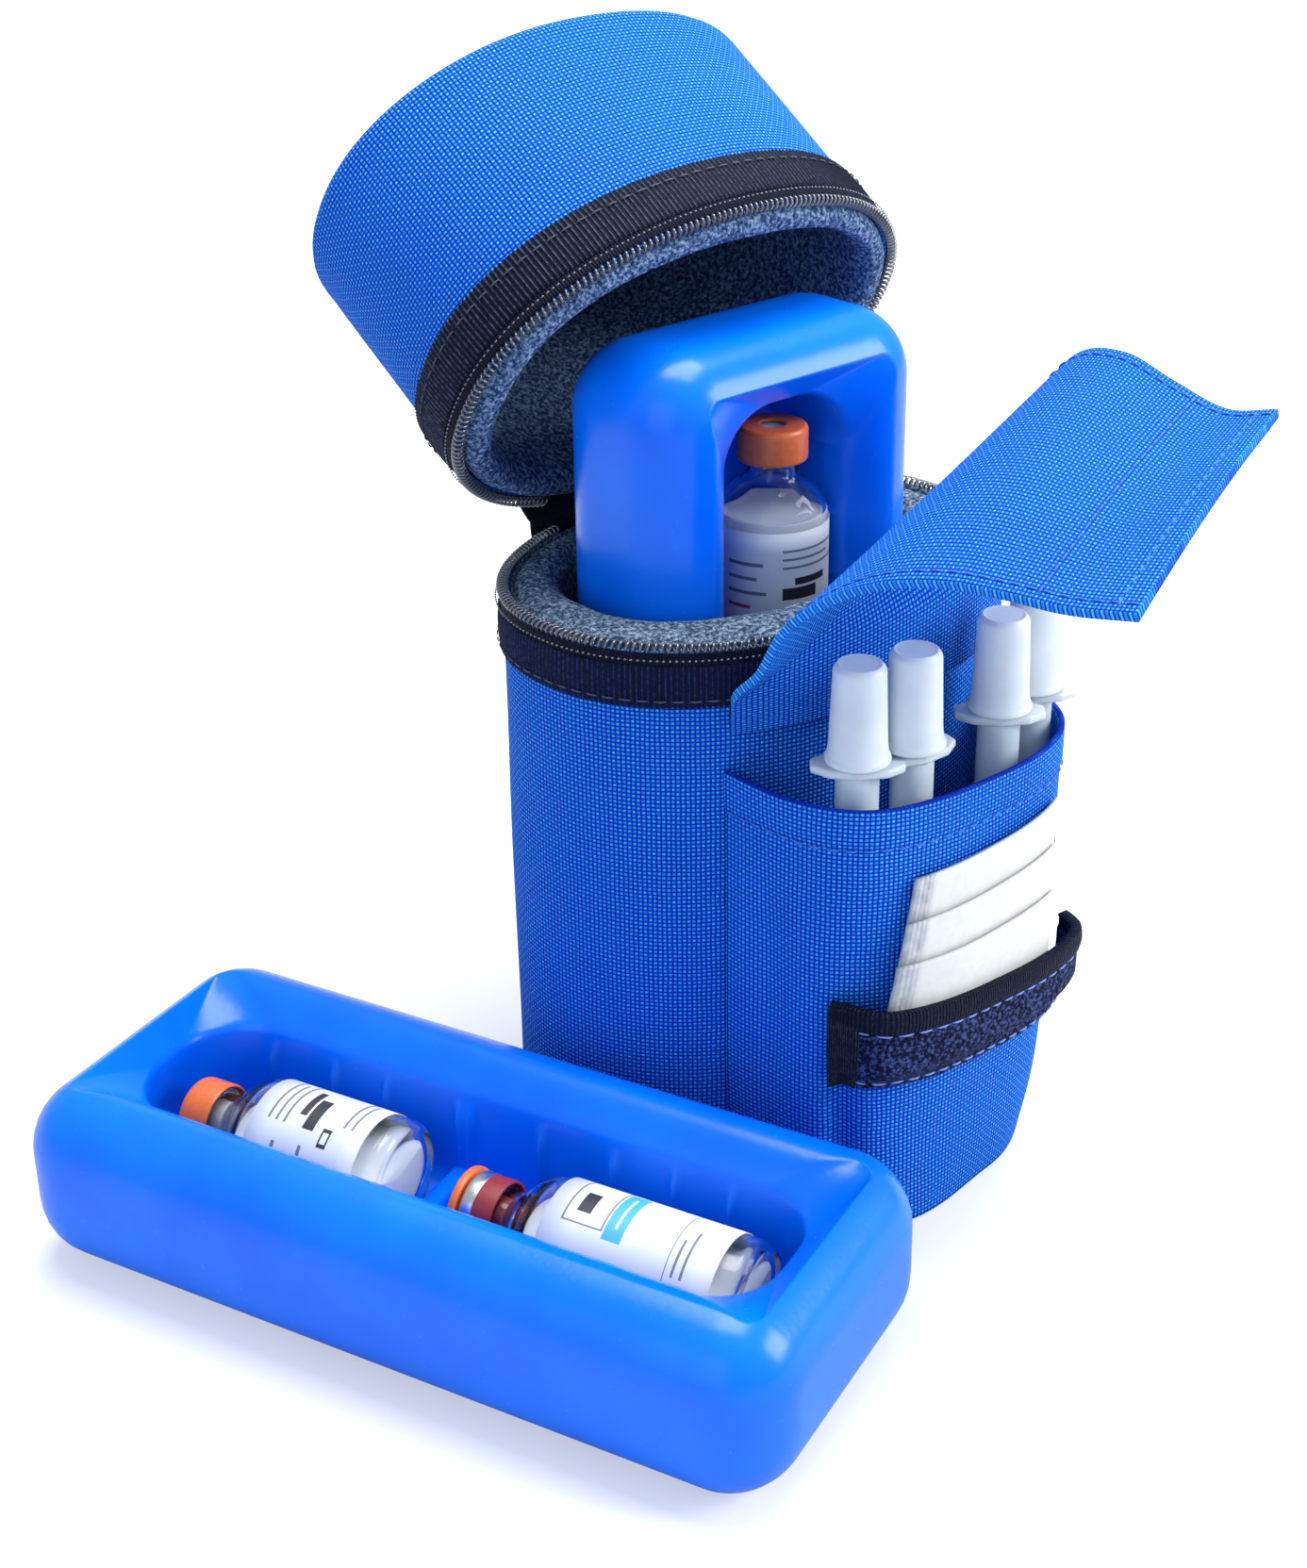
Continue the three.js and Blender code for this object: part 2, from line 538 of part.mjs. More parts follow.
function traySolid() {
  const rings = [];
  const { depth, topRound, bottomRound } = tray;
  const corner = Math.max(topRound, bottomRound);
  const add = (round, height) => {
    const inset = round - Math.sqrt(Math.max(0, round * round - height * height));
    return roundedRing(trayLength / 2 - inset, trayWidth / 2 - inset, Math.max(corner - inset, fit), 0);
  };
  for (let i = cornerSteps; i >= 0; i -= 1) {
    const height = bottomRound * Math.sin((Math.PI / 2) * (i / cornerSteps));
    rings.push(add(bottomRound, height).map((p) => p.setZ(bottomRound - height)));
  }
  for (let i = 0; i <= cornerSteps; i += 1) {
    const height = topRound * Math.sin((Math.PI / 2) * (i / cornerSteps));
    rings.push(add(topRound, height).map((p) => p.setZ(depth - topRound + height)));
  }
  return ringSolid(rings, false);
}

// The recess: a drafted trough with round ends, under a mouth whose planes slope in from straight creases.
function recessCut() {
  const { floor, draft, corner, slopeDepth } = recess;
  const halfLength = recessLength / 2;
  const halfWidth = recessWidth / 2;
  const shoulder = tray.depth - slopeDepth;
  const overrun = slopeDepth / 2;
  const overrunShare = overrun / slopeDepth;
  const rings = [
    roundedRing(halfLength - 2 * draft, halfWidth - 2 * draft, corner - 2 * draft, floor),
    roundedRing(halfLength - draft, halfWidth - draft, corner - draft, floor + draft),
    roundedRing(halfLength, halfWidth, corner, shoulder),
    roundedRing(halfLength + trayMouth.reach, halfWidth + trayMouth.side, trayMouth.corner, tray.depth),
    roundedRing(
      halfLength + trayMouth.reach * (1 + overrunShare), halfWidth + trayMouth.side * (1 + overrunShare),
      trayMouth.corner, tray.depth + overrun,
    ),
  ];
  return ringSolid(rings, false);
}

// Places of the vial ribs along the tray, as shares of half the recess.
const ribShares = [-0.81, -0.59, -0.405, 0.116, 0.347, 0.54, 0.713];

function trayGeometry() {
  let body = toSolid(traySolid()).subtract(toSolid(recessCut()));
  const side = recessWidth / 2;
  const bar = (x, y, z, sx, sy, sz) => toSolid(new THREE.BoxGeometry(sx, sy, sz).translate(x, y, z));
  const ribHeight = tray.depth - recess.slopeDepth - rib.drop - recess.floor;
  for (const share of ribShares) {
    for (const hand of [-1, 1]) {
      const post = new THREE.CylinderGeometry(rib.topRadius, rib.halfWidth, ribHeight, 6);
      const y = hand * (side - rib.reach + rib.halfWidth / 2);
      post.rotateX(Math.PI / 2);
      post.translate((share * recessLength) / 2, y, recess.floor + ribHeight / 2);
      body = body.add(toSolid(post));
    }
  }
  const stopZ = recess.floor + rib.stop / 2 - fit;
  body = body.add(bar(rib.stopPlace, 0, stopZ, rib.stopWall, recessWidth - rib.reach, rib.stop + fit + fit));
  for (const hand of [-1, 1]) {
    const y = hand * (side - rib.reach / 2);
    const z = recess.floor + (ribHeight - fit) / 2;
    body = body.add(bar(rib.stopPlace, y, z, rib.stopWall, 2 * rib.reach, ribHeight + fit));
  }
  return fromSolid(body);
}

// Vials stand on z = 0 with the neck up.

function glassProfile({ radius, length }) {
  const neckBase = length - neck.drop;
  const bodyTop = neckBase - neck.shoulder;
  const lipTop = length - vial.sealHeight + neck.lipHeight;
  const round = vial.glass;
  const inner = radius - vial.glass;
  return [
    [0, 0], [radius - round, 0], [radius, round], [radius, bodyTop],
    [radius - neck.shoulder / 3, bodyTop + neck.shoulder / 2], [vial.neckRadius, neckBase],
    [vial.neckRadius, lipTop - neck.lipHeight], [neck.lipRadius, lipTop - neck.lipHeight + fit],
    [neck.lipRadius, lipTop], [neck.bore, lipTop], [neck.bore, neckBase],
    [inner - neck.shoulder / 3, bodyTop + neck.shoulder / 3], [inner, bodyTop - round],
    [inner, 2 * round], [0, 2 * round],
  ];
}

function stopperProfile(length) {
  const lipTop = length - vial.sealHeight + neck.lipHeight + fit;
  const plug = neck.bore - fit;
  const head = neck.lipRadius - fit;
  return [
    [0, lipTop - stopper.plug], [plug, lipTop - stopper.plug], [plug, lipTop],
    [head, lipTop], [head, lipTop + stopper.flange], [0, lipTop + stopper.flange],
  ];
}

function sealTop(length) {
  return length - vial.sealHeight + neck.lipHeight + fit + stopper.flange + fit + seal.wall;
}

// Crimped seal over the stopper, with the hole that the needle goes through.
function sealProfile(length) {
  const top = sealTop(length);
  const under = top - seal.wall;
  const inner = neck.lipRadius + fit;
  const foot = length - vial.sealHeight;
  return [
    [seal.hole, under], [inner, under], [inner, foot], [vial.sealRadius, foot],
    [vial.sealRadius, top - seal.wall], [vial.sealRadius - seal.wall, top],
    [seal.hole, top], [seal.hole, under],
  ];
}

// Insulin in a standing or a lying vial: the lying one is cut level at the given side.
function liquidGeometry({ radius, length }, lying) {
  const wet = radius - vial.glass - fit;
  const floor = 2 * vial.glass + fit;
  const bodyTop = length - neck.drop - neck.shoulder;
  const top = lying ? bodyTop - 2 * vial.glass : bodyTop * fillShare;
  const geometry = turned([[0, floor], [wet, floor], [wet, top], [0, top]]);
  if (!lying) return geometry;
  const side = 2 * radius;
  const keep = new THREE.BoxGeometry(side, side, 2 * length).translate(0, radius / 4 - side / 2, 0);
  return fromSolid(toSolid(geometry).intersect(toSolid(keep)));
}

function labelGeometry({ radius, length }) {
  const inner = radius + fit / 2;
  const high = label.low + label.height + length - vial.length;
  return turned([
    [inner, label.low], [inner + label.wall, label.low], [inner + label.wall, high],
    [inner, high], [inner, label.low],
  ]);
}

function addVial(parent, name, size, lying, sealColour, stopperColour, x, lean) {
  const holder = new THREE.Group();
  const { length } = size;
  const layRadius = size.radius + fit / 2 + label.wall + fit;
  const up = new THREE.Vector3(-1, 0, 0);
  const back = new THREE.Vector3(0, 0, 1);
  const side = new THREE.Vector3().crossVectors(back, up);
  holder.quaternion.setFromRotationMatrix(new THREE.Matrix4().makeBasis(side, back, up));
  holder.position.set(x, lean.side, recess.floor + layRadius + lean.lift);
  part(holder, `${name}_glass`, turned(glassProfile(size)), colours.glass, 0.05);
  part(holder, `${name}_liquid`, liquidGeometry(size, lying), colours.liquid, 0.05);
  part(holder, `${name}_stopper`, turned(stopperProfile(length)), stopperColour, 0.6);
  part(holder, `${name}_seal`, turned(sealProfile(length)), sealColour, 0.4, 0.3);
  part(holder, `${name}_label`, labelGeometry(size), colours.paper, 0.6);
  parent.add(holder);
  return holder;
}

// Distance from the case's middle to its outline's tangent that faces along a heading.
function outlineReach(heading) {
  const q = ovalPower / (ovalPower - 1);
  const x = Math.abs(wallHalfWidth * Math.cos(heading)) ** q;
  return (x + Math.abs(wallHalfDepth * Math.sin(heading)) ** q) ** (1 / q);
}

function buildTrays() {
  const standing = new THREE.Group();
  standing.position.set(0, tray.offsetY + tray.depth / 2, linerBase + trayLength / 2);
  const basis = [new THREE.Vector3(0, 0, -1), new THREE.Vector3(1, 0, 0), new THREE.Vector3(0, -1, 0)];
  standing.quaternion.setFromRotationMatrix(new THREE.Matrix4().makeBasis(...basis));
  part(standing, 'cooling_tray', trayGeometry(), colours.moulded, 0.25);
  addVial(standing, 'case_vial', vial, false, colours.orange, colours.rubber, upperVialBase, standingLean);
  model.add(standing);

  const lying = new THREE.Group();
  const turn = THREE.MathUtils.degToRad(spare.turnDegrees);
  const away = outlineReach(turn + Math.PI / 2) + spare.gap + trayWidth / 2;
  lying.rotation.z = turn;
  lying.position.set(
    away * Math.sin(turn) + spare.along * Math.cos(turn),
    spare.along * Math.sin(turn) - away * Math.cos(turn), 0,
  );
  part(lying, 'spare_tray', trayGeometry(), colours.moulded, 0.25);
  addVial(lying, 'short_vial', vial, true, colours.orange, colours.rubber, upperVialBase, lyingLean);
  const long = addVial(
    lying, 'long_vial', longVial, true, colours.silver, colours.redRubber, lowerVialBase, lyingLean,
  );
  const { radius, height } = flipDisc;
  const disc = turned([[0, 0], [radius, 0], [radius, height], [0, height]]);
  disc.translate(0, 0, sealTop(longVial.length) + fit);
  part(long, 'long_vial_flip_disc', disc, colours.orange, 0.4);
  model.add(lying);
}

// Syringes stand on the pocket floor, needle shield down.

function syringeBarrel() {
  const low = needleShield.height + fit;
  const high = low + syringe.barrelHeight;
  const tube = turned([[0, low], [syringe.barrelRadius, low], [syringe.barrelRadius, high], [0, high]], 12);
  const half = flange.width / 2;
  const reach = flange.length / 2 - half;
  const outline = new THREE.Shape();
  outline.absarc(reach, 0, half, -Math.PI / 2, Math.PI / 2);
  outline.absarc(-reach, 0, half, Math.PI / 2, (3 * Math.PI) / 2);
  const options = { depth: flange.height, bevelEnabled: false, curveSegments: cornerSteps };
  const plate = new THREE.ExtrudeGeometry(outline, options).translate(0, 0, high - flange.height);
  return fromSolid(toSolid(tube).add(toSolid(plate)));
}

function buildSyringes() {
  syringePlaceShares.forEach(([across, out], i) => {
    const holder = new THREE.Group();
    const base = pocket.lift + cloth + fit;
    holder.position.set(across * pocket.halfWidth, -wallHalfDepth - out * pocket.depth, base);
    holder.rotation.z = -Math.sign(across) * THREE.MathUtils.degToRad(flange.turnDegrees);
    const { radius, height, tipRadius } = needleShield;
    const shield = [[0, 0], [tipRadius, 0], [radius, height], [0, height]];
    part(holder, `syringe_${i + 1}_needle_shield`, turned(shield, 10), colours.orange, 0.4);
    part(holder, `syringe_${i + 1}_barrel`, syringeBarrel(), colours.clear, 0.15);
    const foot = needleShield.height + fit + syringe.barrelHeight + fit;
    const head = foot + cap.height;
    const profile = [
      [0, foot], [cap.lowRadius, foot], [cap.lowRadius, foot + cap.lift],
      [cap.topRadius, head - cap.round], [cap.topRadius - cap.round, head], [0, head],
    ];
    part(holder, `syringe_${i + 1}_plunger_cap`, turned(profile, 14), colours.frosted, 0.5);
    model.add(holder);
  });
}

buildCase();
part(model, 'case_hinge_strip', hingeStrip(hingeZ - hinge.reach, hingeZ - hinge.foldGap), colours.tape);
buildZipSlider();
buildLid();
buildPocket();
buildFlap();
buildTrays();
buildSyringes();

export default model;
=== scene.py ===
"""Insulin cooling case: fabric, foam, trays, vials and syringes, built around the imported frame."""
import bisect
import math

import bmesh
import bpy
from mathutils import Matrix, Vector, noise


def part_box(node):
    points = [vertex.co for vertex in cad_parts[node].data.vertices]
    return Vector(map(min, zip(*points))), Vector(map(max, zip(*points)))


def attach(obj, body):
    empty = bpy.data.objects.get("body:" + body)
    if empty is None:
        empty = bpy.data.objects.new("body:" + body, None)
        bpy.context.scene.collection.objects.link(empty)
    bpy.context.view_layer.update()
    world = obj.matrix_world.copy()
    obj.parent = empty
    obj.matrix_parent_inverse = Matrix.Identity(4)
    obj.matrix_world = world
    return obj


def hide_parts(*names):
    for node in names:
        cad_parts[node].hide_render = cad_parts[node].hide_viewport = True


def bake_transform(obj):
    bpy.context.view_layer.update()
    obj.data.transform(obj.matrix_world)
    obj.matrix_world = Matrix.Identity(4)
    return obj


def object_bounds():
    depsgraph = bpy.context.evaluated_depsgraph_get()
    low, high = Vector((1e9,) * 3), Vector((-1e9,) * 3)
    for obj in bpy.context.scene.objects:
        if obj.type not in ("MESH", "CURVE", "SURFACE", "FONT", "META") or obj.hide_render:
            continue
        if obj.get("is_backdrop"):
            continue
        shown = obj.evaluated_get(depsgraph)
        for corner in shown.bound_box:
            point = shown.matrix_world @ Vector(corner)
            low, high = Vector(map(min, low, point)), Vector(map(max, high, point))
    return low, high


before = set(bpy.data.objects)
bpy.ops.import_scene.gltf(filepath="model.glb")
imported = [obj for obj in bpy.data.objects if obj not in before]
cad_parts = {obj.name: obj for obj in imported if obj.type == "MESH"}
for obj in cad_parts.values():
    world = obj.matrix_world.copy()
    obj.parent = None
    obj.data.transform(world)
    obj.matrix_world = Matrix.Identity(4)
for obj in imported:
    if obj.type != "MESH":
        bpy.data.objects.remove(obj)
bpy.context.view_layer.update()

bl_info = {
    "name": "Insulin Cooling Case",
    "version": (1, 0, 0),
    "blender": (4, 5, 0),
    "location": "View3D > Sidebar > Cooling Case",
    "description": "Builds the zipped case, its cooling trays, vials, syringes and swab packets",
    "category": "Object",
}

MM = 0.001
FIT = 0.3 * MM
CLOTH = 1.2 * MM
FULL_TURN = 2 * math.pi

# Sizes read from the frame, and the shared plan of the case
WALL_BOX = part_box("case_shell")
WALL_HALF_WIDTH = WALL_BOX[1][0]
WALL_HALF_DEPTH = WALL_BOX[1][1]
RIM_Z = WALL_BOX[1][2]
WALL_POWER = 2.15
COIL_RADIUS = 0.9 * MM
TAPE_HEIGHT = 10.5 * MM
TAPE_OUT = 1.2 * MM
CORD_PITCH = 1.05 * MM
# Shares of the rim between which the zip's coils run
COIL_START = 0.3206
COIL_END = 1.1645

# The lid in its shut place, before it is turned open about the hinge
HINGE = Vector((0, 40.8 * MM, 121.3 * MM))
LID_OPEN = math.radians(-58)
LID_RIM_Z = 121.6 * MM
LID_WALL_Z = 123.7 * MM
LID_TOP_Z = 179.6 * MM
LID_EDGE = 3 * MM
LID_FLARE = 0.03
LID_CEILING_Z = 171.2 * MM
LID_TURN = Matrix.Translation(HINGE) @ Matrix.Rotation(LID_OPEN, 4, "X") @ Matrix.Translation(-HINGE)

# The trays, modelled lying with the recess up, and the places where they stand and lie
TRAY_HALF_LENGTH = 81.5 * MM
TRAY_HALF_WIDTH = 35 * MM
TRAY_DEPTH = 37 * MM
MOUTH_HALF_LENGTH = 74 * MM
MOUTH_HALF_WIDTH = 24.5 * MM
MOUTH_CORNER = 3 * MM
RECESS_HALF_LENGTH = 68.5 * MM
RECESS_HALF_WIDTH = 16.5 * MM
RECESS_CORNER = 13 * MM
RECESS_SHOULDER = 31 * MM
RECESS_FLOOR = 9.2 * MM
SPARE_TURN = math.radians(-70)


def box_middle(node):
    low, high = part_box(node)
    return (Vector(low) + Vector(high)) / 2


STANDING_MIDDLE = box_middle("cooling_tray")
STANDING = Matrix.Translation(STANDING_MIDDLE) @ Matrix((
    (0, 1, 0, 0),
    (0, 0, -1, TRAY_DEPTH / 2),
    (-1, 0, 0, 0),
    (0, 0, 0, 1),
))
SPARE_MIDDLE = box_middle("spare_tray")
LYING = Matrix.Translation((SPARE_MIDDLE.x, SPARE_MIDDLE.y, 0)) @ Matrix.Rotation(SPARE_TURN, 4, "Z")


# Plain geometry


def lerp(a, b, t):
    return a + (b - a) * t


def clamp(t):
    return min(max(t, 0.0), 1.0)


def ease(t):
    t = clamp(t)
    return t * t * (3 - 2 * t)


def signed_power(value, power):
    return math.copysign(abs(value) ** power, value)


def along(points, t):
    """The point at share t of a smooth curve through points, which lie at even shares."""
    last = len(points) - 1
    place = clamp(t) * last
    i = min(int(place), last - 1)
    t = place - i
    a, b = points[i], points[i + 1]
    before = points[i - 1] if i > 0 else a * 2 - b
    after = points[i + 2] if i + 2 <= last else b * 2 - a
    return (
        a * 2 + (b - before) * t + (before * 2 - a * 5 + b * 4 - after) * t ** 2
        + (a * 3 - before - b * 3 + after) * t ** 3
    ) * 0.5


class Outline:
    """A plan curve, measured along its length by shares from 0 to 1."""

    def __init__(self, points):
        self.points = points
        self.lengths = [0.0]
        for a, b in zip(points, points[1:]):
            self.lengths.append(self.lengths[-1] + (b - a).length)
        self.length = self.lengths[-1]

    def at(self, share):
        """The point and the outward normal at a share of the length."""
        reach = (share if 0 <= share <= 1 else share % 1.0) * self.length
        i = min(max(bisect.bisect_right(self.lengths, reach) - 1, 0), len(self.points) - 2)
        a, b = self.points[i], self.points[i + 1]
        span = self.lengths[i + 1] - self.lengths[i]
        ahead = (b - a).normalized()
        return a.lerp(b, (reach - self.lengths[i]) / span), Vector((ahead.y, -ahead.x, 0))


def oval(half_width, half_depth, power=WALL_POWER, middle_y=0.0, steps=360):
    """A squared oval outline from +X, counter-clockwise."""
    points = []
    for i in range(steps + 1):
        angle = FULL_TURN * i / steps
        x = half_width * signed_power(math.cos(angle), 2 / power)
        y = half_depth * signed_power(math.sin(angle), 2 / power)
        points.append(Vector((x, y + middle_y, 0)))
    return Outline(points)


def case_outline(offset=0.0, scale=1.0):
    return oval(WALL_HALF_WIDTH * scale + offset, WALL_HALF_DEPTH * scale + offset)


def depth_at(x, offset=0.0):
    """Half depth of the case's outline, widened by offset, at x."""
    share = min(abs(x) / (WALL_HALF_WIDTH + offset), 1.0)
    return (WALL_HALF_DEPTH + offset) * (1 - share ** WALL_POWER) ** (1 / WALL_POWER)


# Meshes


def grid_mesh(place, columns, rows, cut, merge=False):
    """A grid whose points are placed by place(u, v), with its flat cut size as the UV map."""
    bm = bmesh.new()
    bmesh.ops.create_grid(bm, x_segments=columns, y_segments=rows, size=0.5)
    uv = bm.loops.layers.uv.new("cut")
    for face in bm.faces:
        for loop in face.loops:
            loop[uv].uv = ((loop.vert.co.x + 0.5) * cut[0], (loop.vert.co.y + 0.5) * cut[1])
    for vert in bm.verts:
        vert.co = place(vert.co.x + 0.5, vert.co.y + 0.5)
    if merge:
        bmesh.ops.remove_doubles(bm, verts=bm.verts, dist=1e-6)
    return bm


def panel_mesh(outline, height, columns=140, rows=24):
    """A panel inside an outline, from its edge to its middle, with its plan as the UV map."""
    def place(u, v):
        edge, _ = outline.at(u)
        point = edge * (1 - v)
        return Vector((point.x, point.y, height(v)))
    bm = grid_mesh(place, columns, rows, (1, 1), merge=True)
    uv = bm.loops.layers.uv["cut"]
    for face in bm.faces:
        for loop in face.loops:
            loop[uv].uv = loop.vert.co.xy
    return bm


def turned_mesh(profile, steps=48):
    """A turned piece about Z from (radius, height) points."""
    bm = bmesh.new()
    verts = [bm.verts.new((radius, 0, height)) for radius, height in profile]
    edges = [bm.edges.new(pair) for pair in zip(verts, verts[1:])]
    bmesh.ops.spin(
        bm, geom=verts + edges, cent=(0, 0, 0), axis=(0, 0, 1), angle=FULL_TURN, steps=steps, use_merge=True)
    bmesh.ops.remove_doubles(bm, verts=bm.verts, dist=1e-7)
    bmesh.ops.recalc_face_normals(bm, faces=bm.faces)
    return bm


def fill_holes(bm):
    edges = [edge for edge in bm.edges if edge.is_boundary]
    bmesh.ops.holes_fill(bm, edges=edges, sides=0)


def rounded(profile, radius, steps=4):
    """A profile whose inner corners are rounded by arcs, drawn as quadratic curves."""
    points = [profile[0]]
    for before, corner, after in zip(profile, profile[1:], profile[2:]):
        a, b, c = Vector(before), Vector(corner), Vector(after)
        reach = min(radius, (a - b).length * 0.45, (c - b).length * 0.45)
        start = b + (a - b).normalized() * reach
        end = b + (c - b).normalized() * reach
        for i in range(steps + 1):
            t = i / steps
            points.append(tuple(start.lerp(b, t).lerp(b.lerp(end, t), t)))
    points.append(profile[-1])
    return points


def tube_mesh(routes, radius, sides=6, thin_ends=False):
    """A mesh of round tubes along routes, from one curve with a round section."""
    curve = bpy.data.curves.new("route", "CURVE")
    curve.dimensions = "3D"
    curve.bevel_depth = radius
    curve.bevel_resolution = max(0, sides // 2 - 2)
    curve.use_fill_caps = True
    for route in routes:
        spline = curve.splines.new("POLY")
        spline.points.add(len(route) - 1)
        for i, point in enumerate(route):
            spline.points[i].co = (*point, 1)
            end = thin_ends and i in (0, len(route) - 1)
            spline.points[i].radius = 0.45 if end else 1
    holder = bpy.data.objects.new("route", curve)
    bpy.context.scene.collection.objects.link(holder)
    bpy.context.view_layer.update()
    mesh = bpy.data.meshes.new_from_object(holder.evaluated_get(bpy.context.evaluated_depsgraph_get()))
    bm = bmesh.new()
    bm.from_mesh(mesh)
    bpy.data.objects.remove(holder)
    bpy.data.curves.remove(curve)
    bpy.data.meshes.remove(mesh)
    bmesh.ops.remove_doubles(bm, verts=bm.verts, dist=1e-7)
    bmesh.ops.recalc_face_normals(bm, faces=bm.faces)
    return bm


def stitch_mesh(place, length, stitch=2.3 * MM, gap=0.9 * MM, thread=0.2 * MM):
    """A row of sewn stitches: place(share) gives each point on the cloth and its normal."""
    count = max(1, round(length / (stitch + gap)))
    pause = gap / (stitch + gap) / 2
    routes = []
    for i in range(count):
        start, end = (i + pause) / count, (i + 1 - pause) / count
        route = []
        for k in range(5):
            t = k / 4
            point, normal = place(lerp(start, end, t))
            lift = thread * (0.8 * math.sin(math.pi * t) - 0.1)
            route.append(point + normal * lift)
        routes.append(route)
    return tube_mesh(routes, thread, thin_ends=True)


def make_piece(name, bm, slot, body=None, replaces=(), finish=None, transform=None):
    """A mesh object in a material slot, finished as the slot's name or finish says.

    It rides on a body, or on none.
    """
    if transform:
        bmesh.ops.transform(bm, matrix=transform, verts=bm.verts)
    mesh = bpy.data.meshes.new(name)
    bm.to_mesh(mesh)
    bm.free()
    mesh.materials.append(MATERIALS[finish or slot])
    mesh.polygons.foreach_set("use_smooth", [True] * len(mesh.polygons))
    piece = bpy.data.objects.new(name, mesh)
    bpy.context.scene.collection.objects.link(piece)
    if replaces:
        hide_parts(*replaces)
    if body:
        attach(piece, body)
    return piece


def thicken(piece, wall, offset=-1):
    solid = piece.modifiers.new("wall", "SOLIDIFY")
    solid.thickness = wall
    solid.offset = offset
    solid.use_even_offset = False


SETTLE_FRAMES = 14
SETTLE_CAP = 1.5 * MM
SETTLE_PRESSURE = 3.0
SETTLE_STIFFNESS = 8.0


def settle(piece, pinned):
    """Cloth simulation from the cut shape, without gravity; the result is written into the mesh."""
    scene = bpy.context.scene
    mesh = piece.data
    start = [vert.co.copy() for vert in mesh.vertices]
    group = piece.vertex_groups.new(name="sewn")
    group.add([i for i, co in enumerate(start) if pinned(co)], 1.0, "REPLACE")
    cloth = piece.modifiers.new("cloth", "CLOTH")
    cloth.settings.vertex_group_mass = "sewn"
    cloth.settings.effector_weights.gravity = 0
    cloth.settings.use_pressure = True
    cloth.settings.uniform_pressure_force = SETTLE_PRESSURE
    cloth.settings.tension_stiffness = SETTLE_STIFFNESS
    cloth.settings.compression_stiffness = SETTLE_STIFFNESS
    cloth.settings.bending_stiffness = 0.3
    cloth.settings.quality = 3
    cloth.collision_settings.use_collision = False
    cloth.point_cache.frame_start = 1
    cloth.point_cache.frame_end = SETTLE_FRAMES
    for number in range(1, SETTLE_FRAMES + 1):
        scene.frame_set(number)
    drawn = piece.evaluated_get(bpy.context.evaluated_depsgraph_get()).to_mesh()
    moved = [vert.co.copy() for vert in drawn.vertices]
    piece.modifiers.remove(cloth)
    piece.vertex_groups.remove(group)
    for vert, old, new in zip(mesh.vertices, start, moved):
        step = new - old
        vert.co = old + step * min(1.0, SETTLE_CAP / max(step.length, 1e-9))
    scene.frame_set(1)


# Materials


class Finish:
    """Short calls that build one material's nodes."""

    def __init__(self, name, colour, roughness, metallic=0.0, **sockets):
        self.material = bpy.data.materials.new(name)
        self.material.use_nodes = True
        self.tree = self.material.node_tree
        self.shader = self.tree.nodes["Principled BSDF"]
        self.shader.inputs["Base Color"].default_value = (*colour, 1)
        self.shader.inputs["Roughness"].default_value = roughness
        self.shader.inputs["Metallic"].default_value = metallic
        for socket, value in sockets.items():
            self.shader.inputs[socket.replace("_", " ")].default_value = value

    def node(self, kind, values=(), **settings):
        node = self.tree.nodes.new(kind)
        for key, value in settings.items():
            setattr(node, key, value)
        for socket, value in values:
            self.give(node.inputs[socket], value)
        return node

    def give(self, socket, value):
        if isinstance(value, bpy.types.NodeSocket):
            self.tree.links.new(value, socket)
        elif isinstance(value, tuple) and len(value) == 3 and socket.type == "RGBA":
            socket.default_value = (*value, 1)
        else:
            socket.default_value = value

    def math(self, operation, a, b=0.0, c=0.0):
        return self.node("ShaderNodeMath", [(0, a), (1, b), (2, c)], operation=operation).outputs[0]

    def times(self, a, b):
        return self.math("MULTIPLY", a, b)

    def plus(self, a, b):
        return self.math("ADD", a, b)

    def cut_uv(self):
        source = self.node("ShaderNodeUVMap", uv_map="cut")
        split = self.node("ShaderNodeSeparateXYZ", [(0, source.outputs[0])])
        return split.outputs[0], split.outputs[1]

    def place(self):
        return self.node("ShaderNodeTexCoord").outputs["Object"]

    def noise(self, scale, detail=2.0, rough=0.5):
        node = self.node("ShaderNodeTexNoise", [
            ("Vector", self.place()), ("Scale", scale), ("Detail", detail), ("Roughness", rough)])
        return node.outputs[0]

    def cells(self, scale):
        node = self.node("ShaderNodeTexVoronoi", [("Vector", self.place()), ("Scale", scale)], feature="F1")
        return node.outputs[0]

    def mix(self, factor, a, b):
        node = self.node("ShaderNodeMix", data_type="RGBA")
        self.give(node.inputs[0], factor)
        self.give(node.inputs[6], a)
        self.give(node.inputs[7], b)
        return node.outputs[2]

    def ramp(self, value, low, high):
        """Zero below low, one above high."""
        node = self.node("ShaderNodeMapRange", [(0, value), (1, low), (2, high)])
        return node.outputs[0]

    def colour(self, value):
        self.give(self.shader.inputs["Base Color"], value)

    def rough(self, value):
        self.give(self.shader.inputs["Roughness"], value)

    def bump(self, height, depth, strength=1.0):
        node = self.node("ShaderNodeBump", [("Strength", strength), ("Distance", depth), ("Height", height)])
        self.give(self.shader.inputs["Normal"], node.outputs[0])


